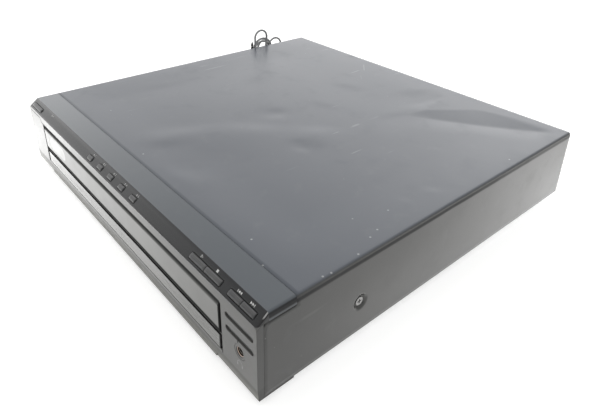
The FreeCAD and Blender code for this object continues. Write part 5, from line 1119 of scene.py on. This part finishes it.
def plug():
    """Two-blade plug: ribbed sleeve growing into a waisted body with a rounded face, and two flat blades."""
    y = np.linspace(47.6, 34.5, 40)
    neck = np.interp(y, (34.5, 47.6), (4.9, 2.2)) - 0.45 * smooth(np.cos((y - 34.5) * 2 * math.pi / 2.62), 0.1, 0.7)
    sleeve = [(48.0, 0, 0, 0), (48.0, 1.9, 1.9, 1.9), *np.column_stack([y, neck, neck, neck])]
    t = np.linspace(0, 1, 14)
    swell = smooth(t, 0, 0.8)
    shoulder = np.column_stack([34.2 - 6 * t, 5 + 4.4 * swell, 4.9 + swell, 4.6 - 1.4 * t])
    t = np.linspace(0, 1, 18)[1:]
    wave = np.sin(math.pi * t)
    grip = np.column_stack([28.2 - 14 * t, 9.4 - 1.3 * wave**2, 5.95 - 0.25 * wave, 3.2 + 0 * t])
    end = [(11.4, 9.4, 5.9, 3.2), (10.4, 8.9, 5.4, 2.8), (10.0, 8.2, 4.8, 2.4), (10.0, 0, 0, 0)]
    part, grey = lofted([*sleeve, *shoulder, *grip, *end]), finishes["cord_grey"]
    body = make_piece("plug_body", [part], "case", "dark_plastic", ["mains_plug"], material=grey)
    blades = []
    for side in (-6.35, 6.35):
        flat = rounded_outline(0.75, 3.15, 0.2, 3)
        rows = []
        for y_place, high, thick in BLADE_ROWS:
            x, z = PLUG_X + side + flat[:, 0] * thick, PLUG_Z + flat[:, 1] * high
            rows.append(np.column_stack([x, np.full(len(flat), y_place), z]))
        blades.append((np.stack(rows), grid_faces(len(rows), len(flat), close_columns=True)))
    brass = brushed_metal("blade_brass", (0.52, 0.46, 0.33), (0.64, 0.57, 0.43), 0.28)
    return body, make_piece("plug_blades", blades, "case", "bright_chrome", material=brass)


def cord_tie():
    """Wire tie: a flat band round the hank's waist, closed both ways, and its two ends twisted up together."""
    centre = (TIE_X, HANK_Y)
    flat = rounded_outline(10.4, 8.8, 3.4, 8) + centre
    count = len(flat)
    pucker = 0.25 * np.sin(np.arange(count) * 2 * math.pi / count * 9)
    inner = rounded_outline(9.9, 8.3, 3.0, 8) + centre
    rows = [(flat, -2.0), (flat, -0.7), (flat, 0.7), (flat, 2.0), (inner, 2.0), (inner, -2.0)]
    band = np.stack([np.column_stack([edge, WAIST_Z + level + pucker * (abs(level) > 1)]) for edge, level in rows])
    t = np.linspace(0, 1, 72)
    lean = np.column_stack([-221.6 + 0.9 * np.sin(5 * t), 113.9 - 5.0 * smooth(t, 0, 0.3) + 2.3 * t, 42.6 + 43.6 * t])
    turn = 9.0 * t
    ends = []
    for phase in (0.0, math.pi):
        middle = lean + 0.75 * np.column_stack([np.cos(turn * 2 + phase), np.sin(turn * 2 + phase), 0 * t])
        width = np.where((t == 0) | (t == 1), 0.0, 1.3)
        wide = np.column_stack([np.cos(turn + phase), np.sin(turn + phase), 0 * t])
        thin = np.column_stack([-np.sin(turn + phase), np.cos(turn + phase), 0 * t])
        corners = [(1, 0.5), (0, 0.75), (-1, 0.5), (-1, -0.5), (0, -0.75), (1, -0.5)]
        ring_points = [middle + wide * (a * width)[:, None] + thin * (b * 0.5 * width)[:, None] for a, b in corners]
        ends.append((np.stack(ring_points, 1), grid_faces(len(t), len(corners), close_columns=True)))
    parts = [(band, grid_faces(len(rows), count, close_rows=True, close_columns=True)), *ends]
    make_piece("wire_tie", parts, "case", "dark_plastic", ["cord_tie"], 50.0)


cord_relief()
plug_body, plug_blades = plug()
cord_tie()


# Floor and light


def studio_floor():
    """White floor that looks white to the camera and in reflections, and keeps the object's soft shadow; in
    reflections it also glows brighter in front, beside the right side and behind, as painted light for the object's
    glossy faces.
    """
    points, faces = np.array([(-9e3, -9e3, 0), (9e3, -9e3, 0), (9e3, 9e3, 0), (-9e3, 9e3, 0)], float), [[0, 1, 2, 3]]
    mesh = bpy.data.meshes.new("studio_floor")
    mesh.from_pydata((points * MM).tolist(), [], faces)
    floor = bpy.data.objects.new("studio_floor", mesh)
    collection.objects.link(floor)
    look = Finish("studio_floor")
    rays = look.node("ShaderNodeLightPath").socket.node.outputs
    x, y, _ = look.axes()
    shiny = look.larger(Value(look, rays["Is Glossy Ray"]), Value(look, rays["Is Transmission Ray"]))
    # Painted reflections: glow seen only in glossy and transmission rays, strongest in front towards the left, beside
    # the right side and behind.
    front = look.maths("MINIMUM", look.larger(1.30 - x * 0.0056, 0.60), 2.9) * look.step(y, 50.0, -150.0)
    beside = look.step(x, 268.0, 232.0) * look.step(x, 205.0, 215.0) * (0.14 + look.step(y, -180.0, 40.0) * 0.71)
    front = front + look.step(x, -205.0, -240.0) * look.step(x, -350.0, -320.0) * look.step(y, -150.0, -220.0) * 0.6
    behind = look.step(y, -160.0, 280.0)
    seen = Value(look, rays["Is Camera Ray"]) * 0.5 + shiny * (front + beside + behind * 1.3 - 0.1)
    matt = look.node("ShaderNodeBsdfDiffuse", None, {"Color": (0.85, 0.85, 0.84, 1.0)})
    glow = look.node("ShaderNodeEmission", None, {"Color": (1.0, 1.0, 1.0, 1.0), "Strength": seen})
    look.end_with(look.node("ShaderNodeAddShader", None, {0: matt, 1: glow}))
    mesh.materials.append(look.material)


def studio_light():
    """Even dome, brighter overhead, towards the rear and at the left, as in a room with two wide windows."""
    world = bpy.data.worlds.new("studio")
    scene.world = world
    look = Finish("studio", world)
    way = look.node("ShaderNodeTexCoord", output="Object")
    split = look.node("ShaderNodeSeparateXYZ", sockets={0: way}).socket.node.outputs
    x, y, z = (Value(look, split[i]) for i in range(3))
    behind = look.step(y, 0.3, 0.95) * look.step(x, 0.35, -0.25)
    left = look.step(x, -0.5, -1.05)
    power = 0.42 + look.step(z, 0.1, 1.0) * 0.6 + behind * 2.3 + left * 1.6
    rays = look.node("ShaderNodeLightPath").socket.node.outputs
    camera = Value(look, rays["Is Camera Ray"])
    power = power * (1.0 - camera) + camera
    sky = look.node("ShaderNodeBackground", None, {"Color": (1.0, 1.0, 1.0, 1.0), "Strength": power})
    out = look.tree.nodes.new("ShaderNodeOutputWorld")
    look.tree.links.new(sky.socket, out.inputs["Surface"])


studio_floor()
studio_light()

bpy.context.view_layer.update()
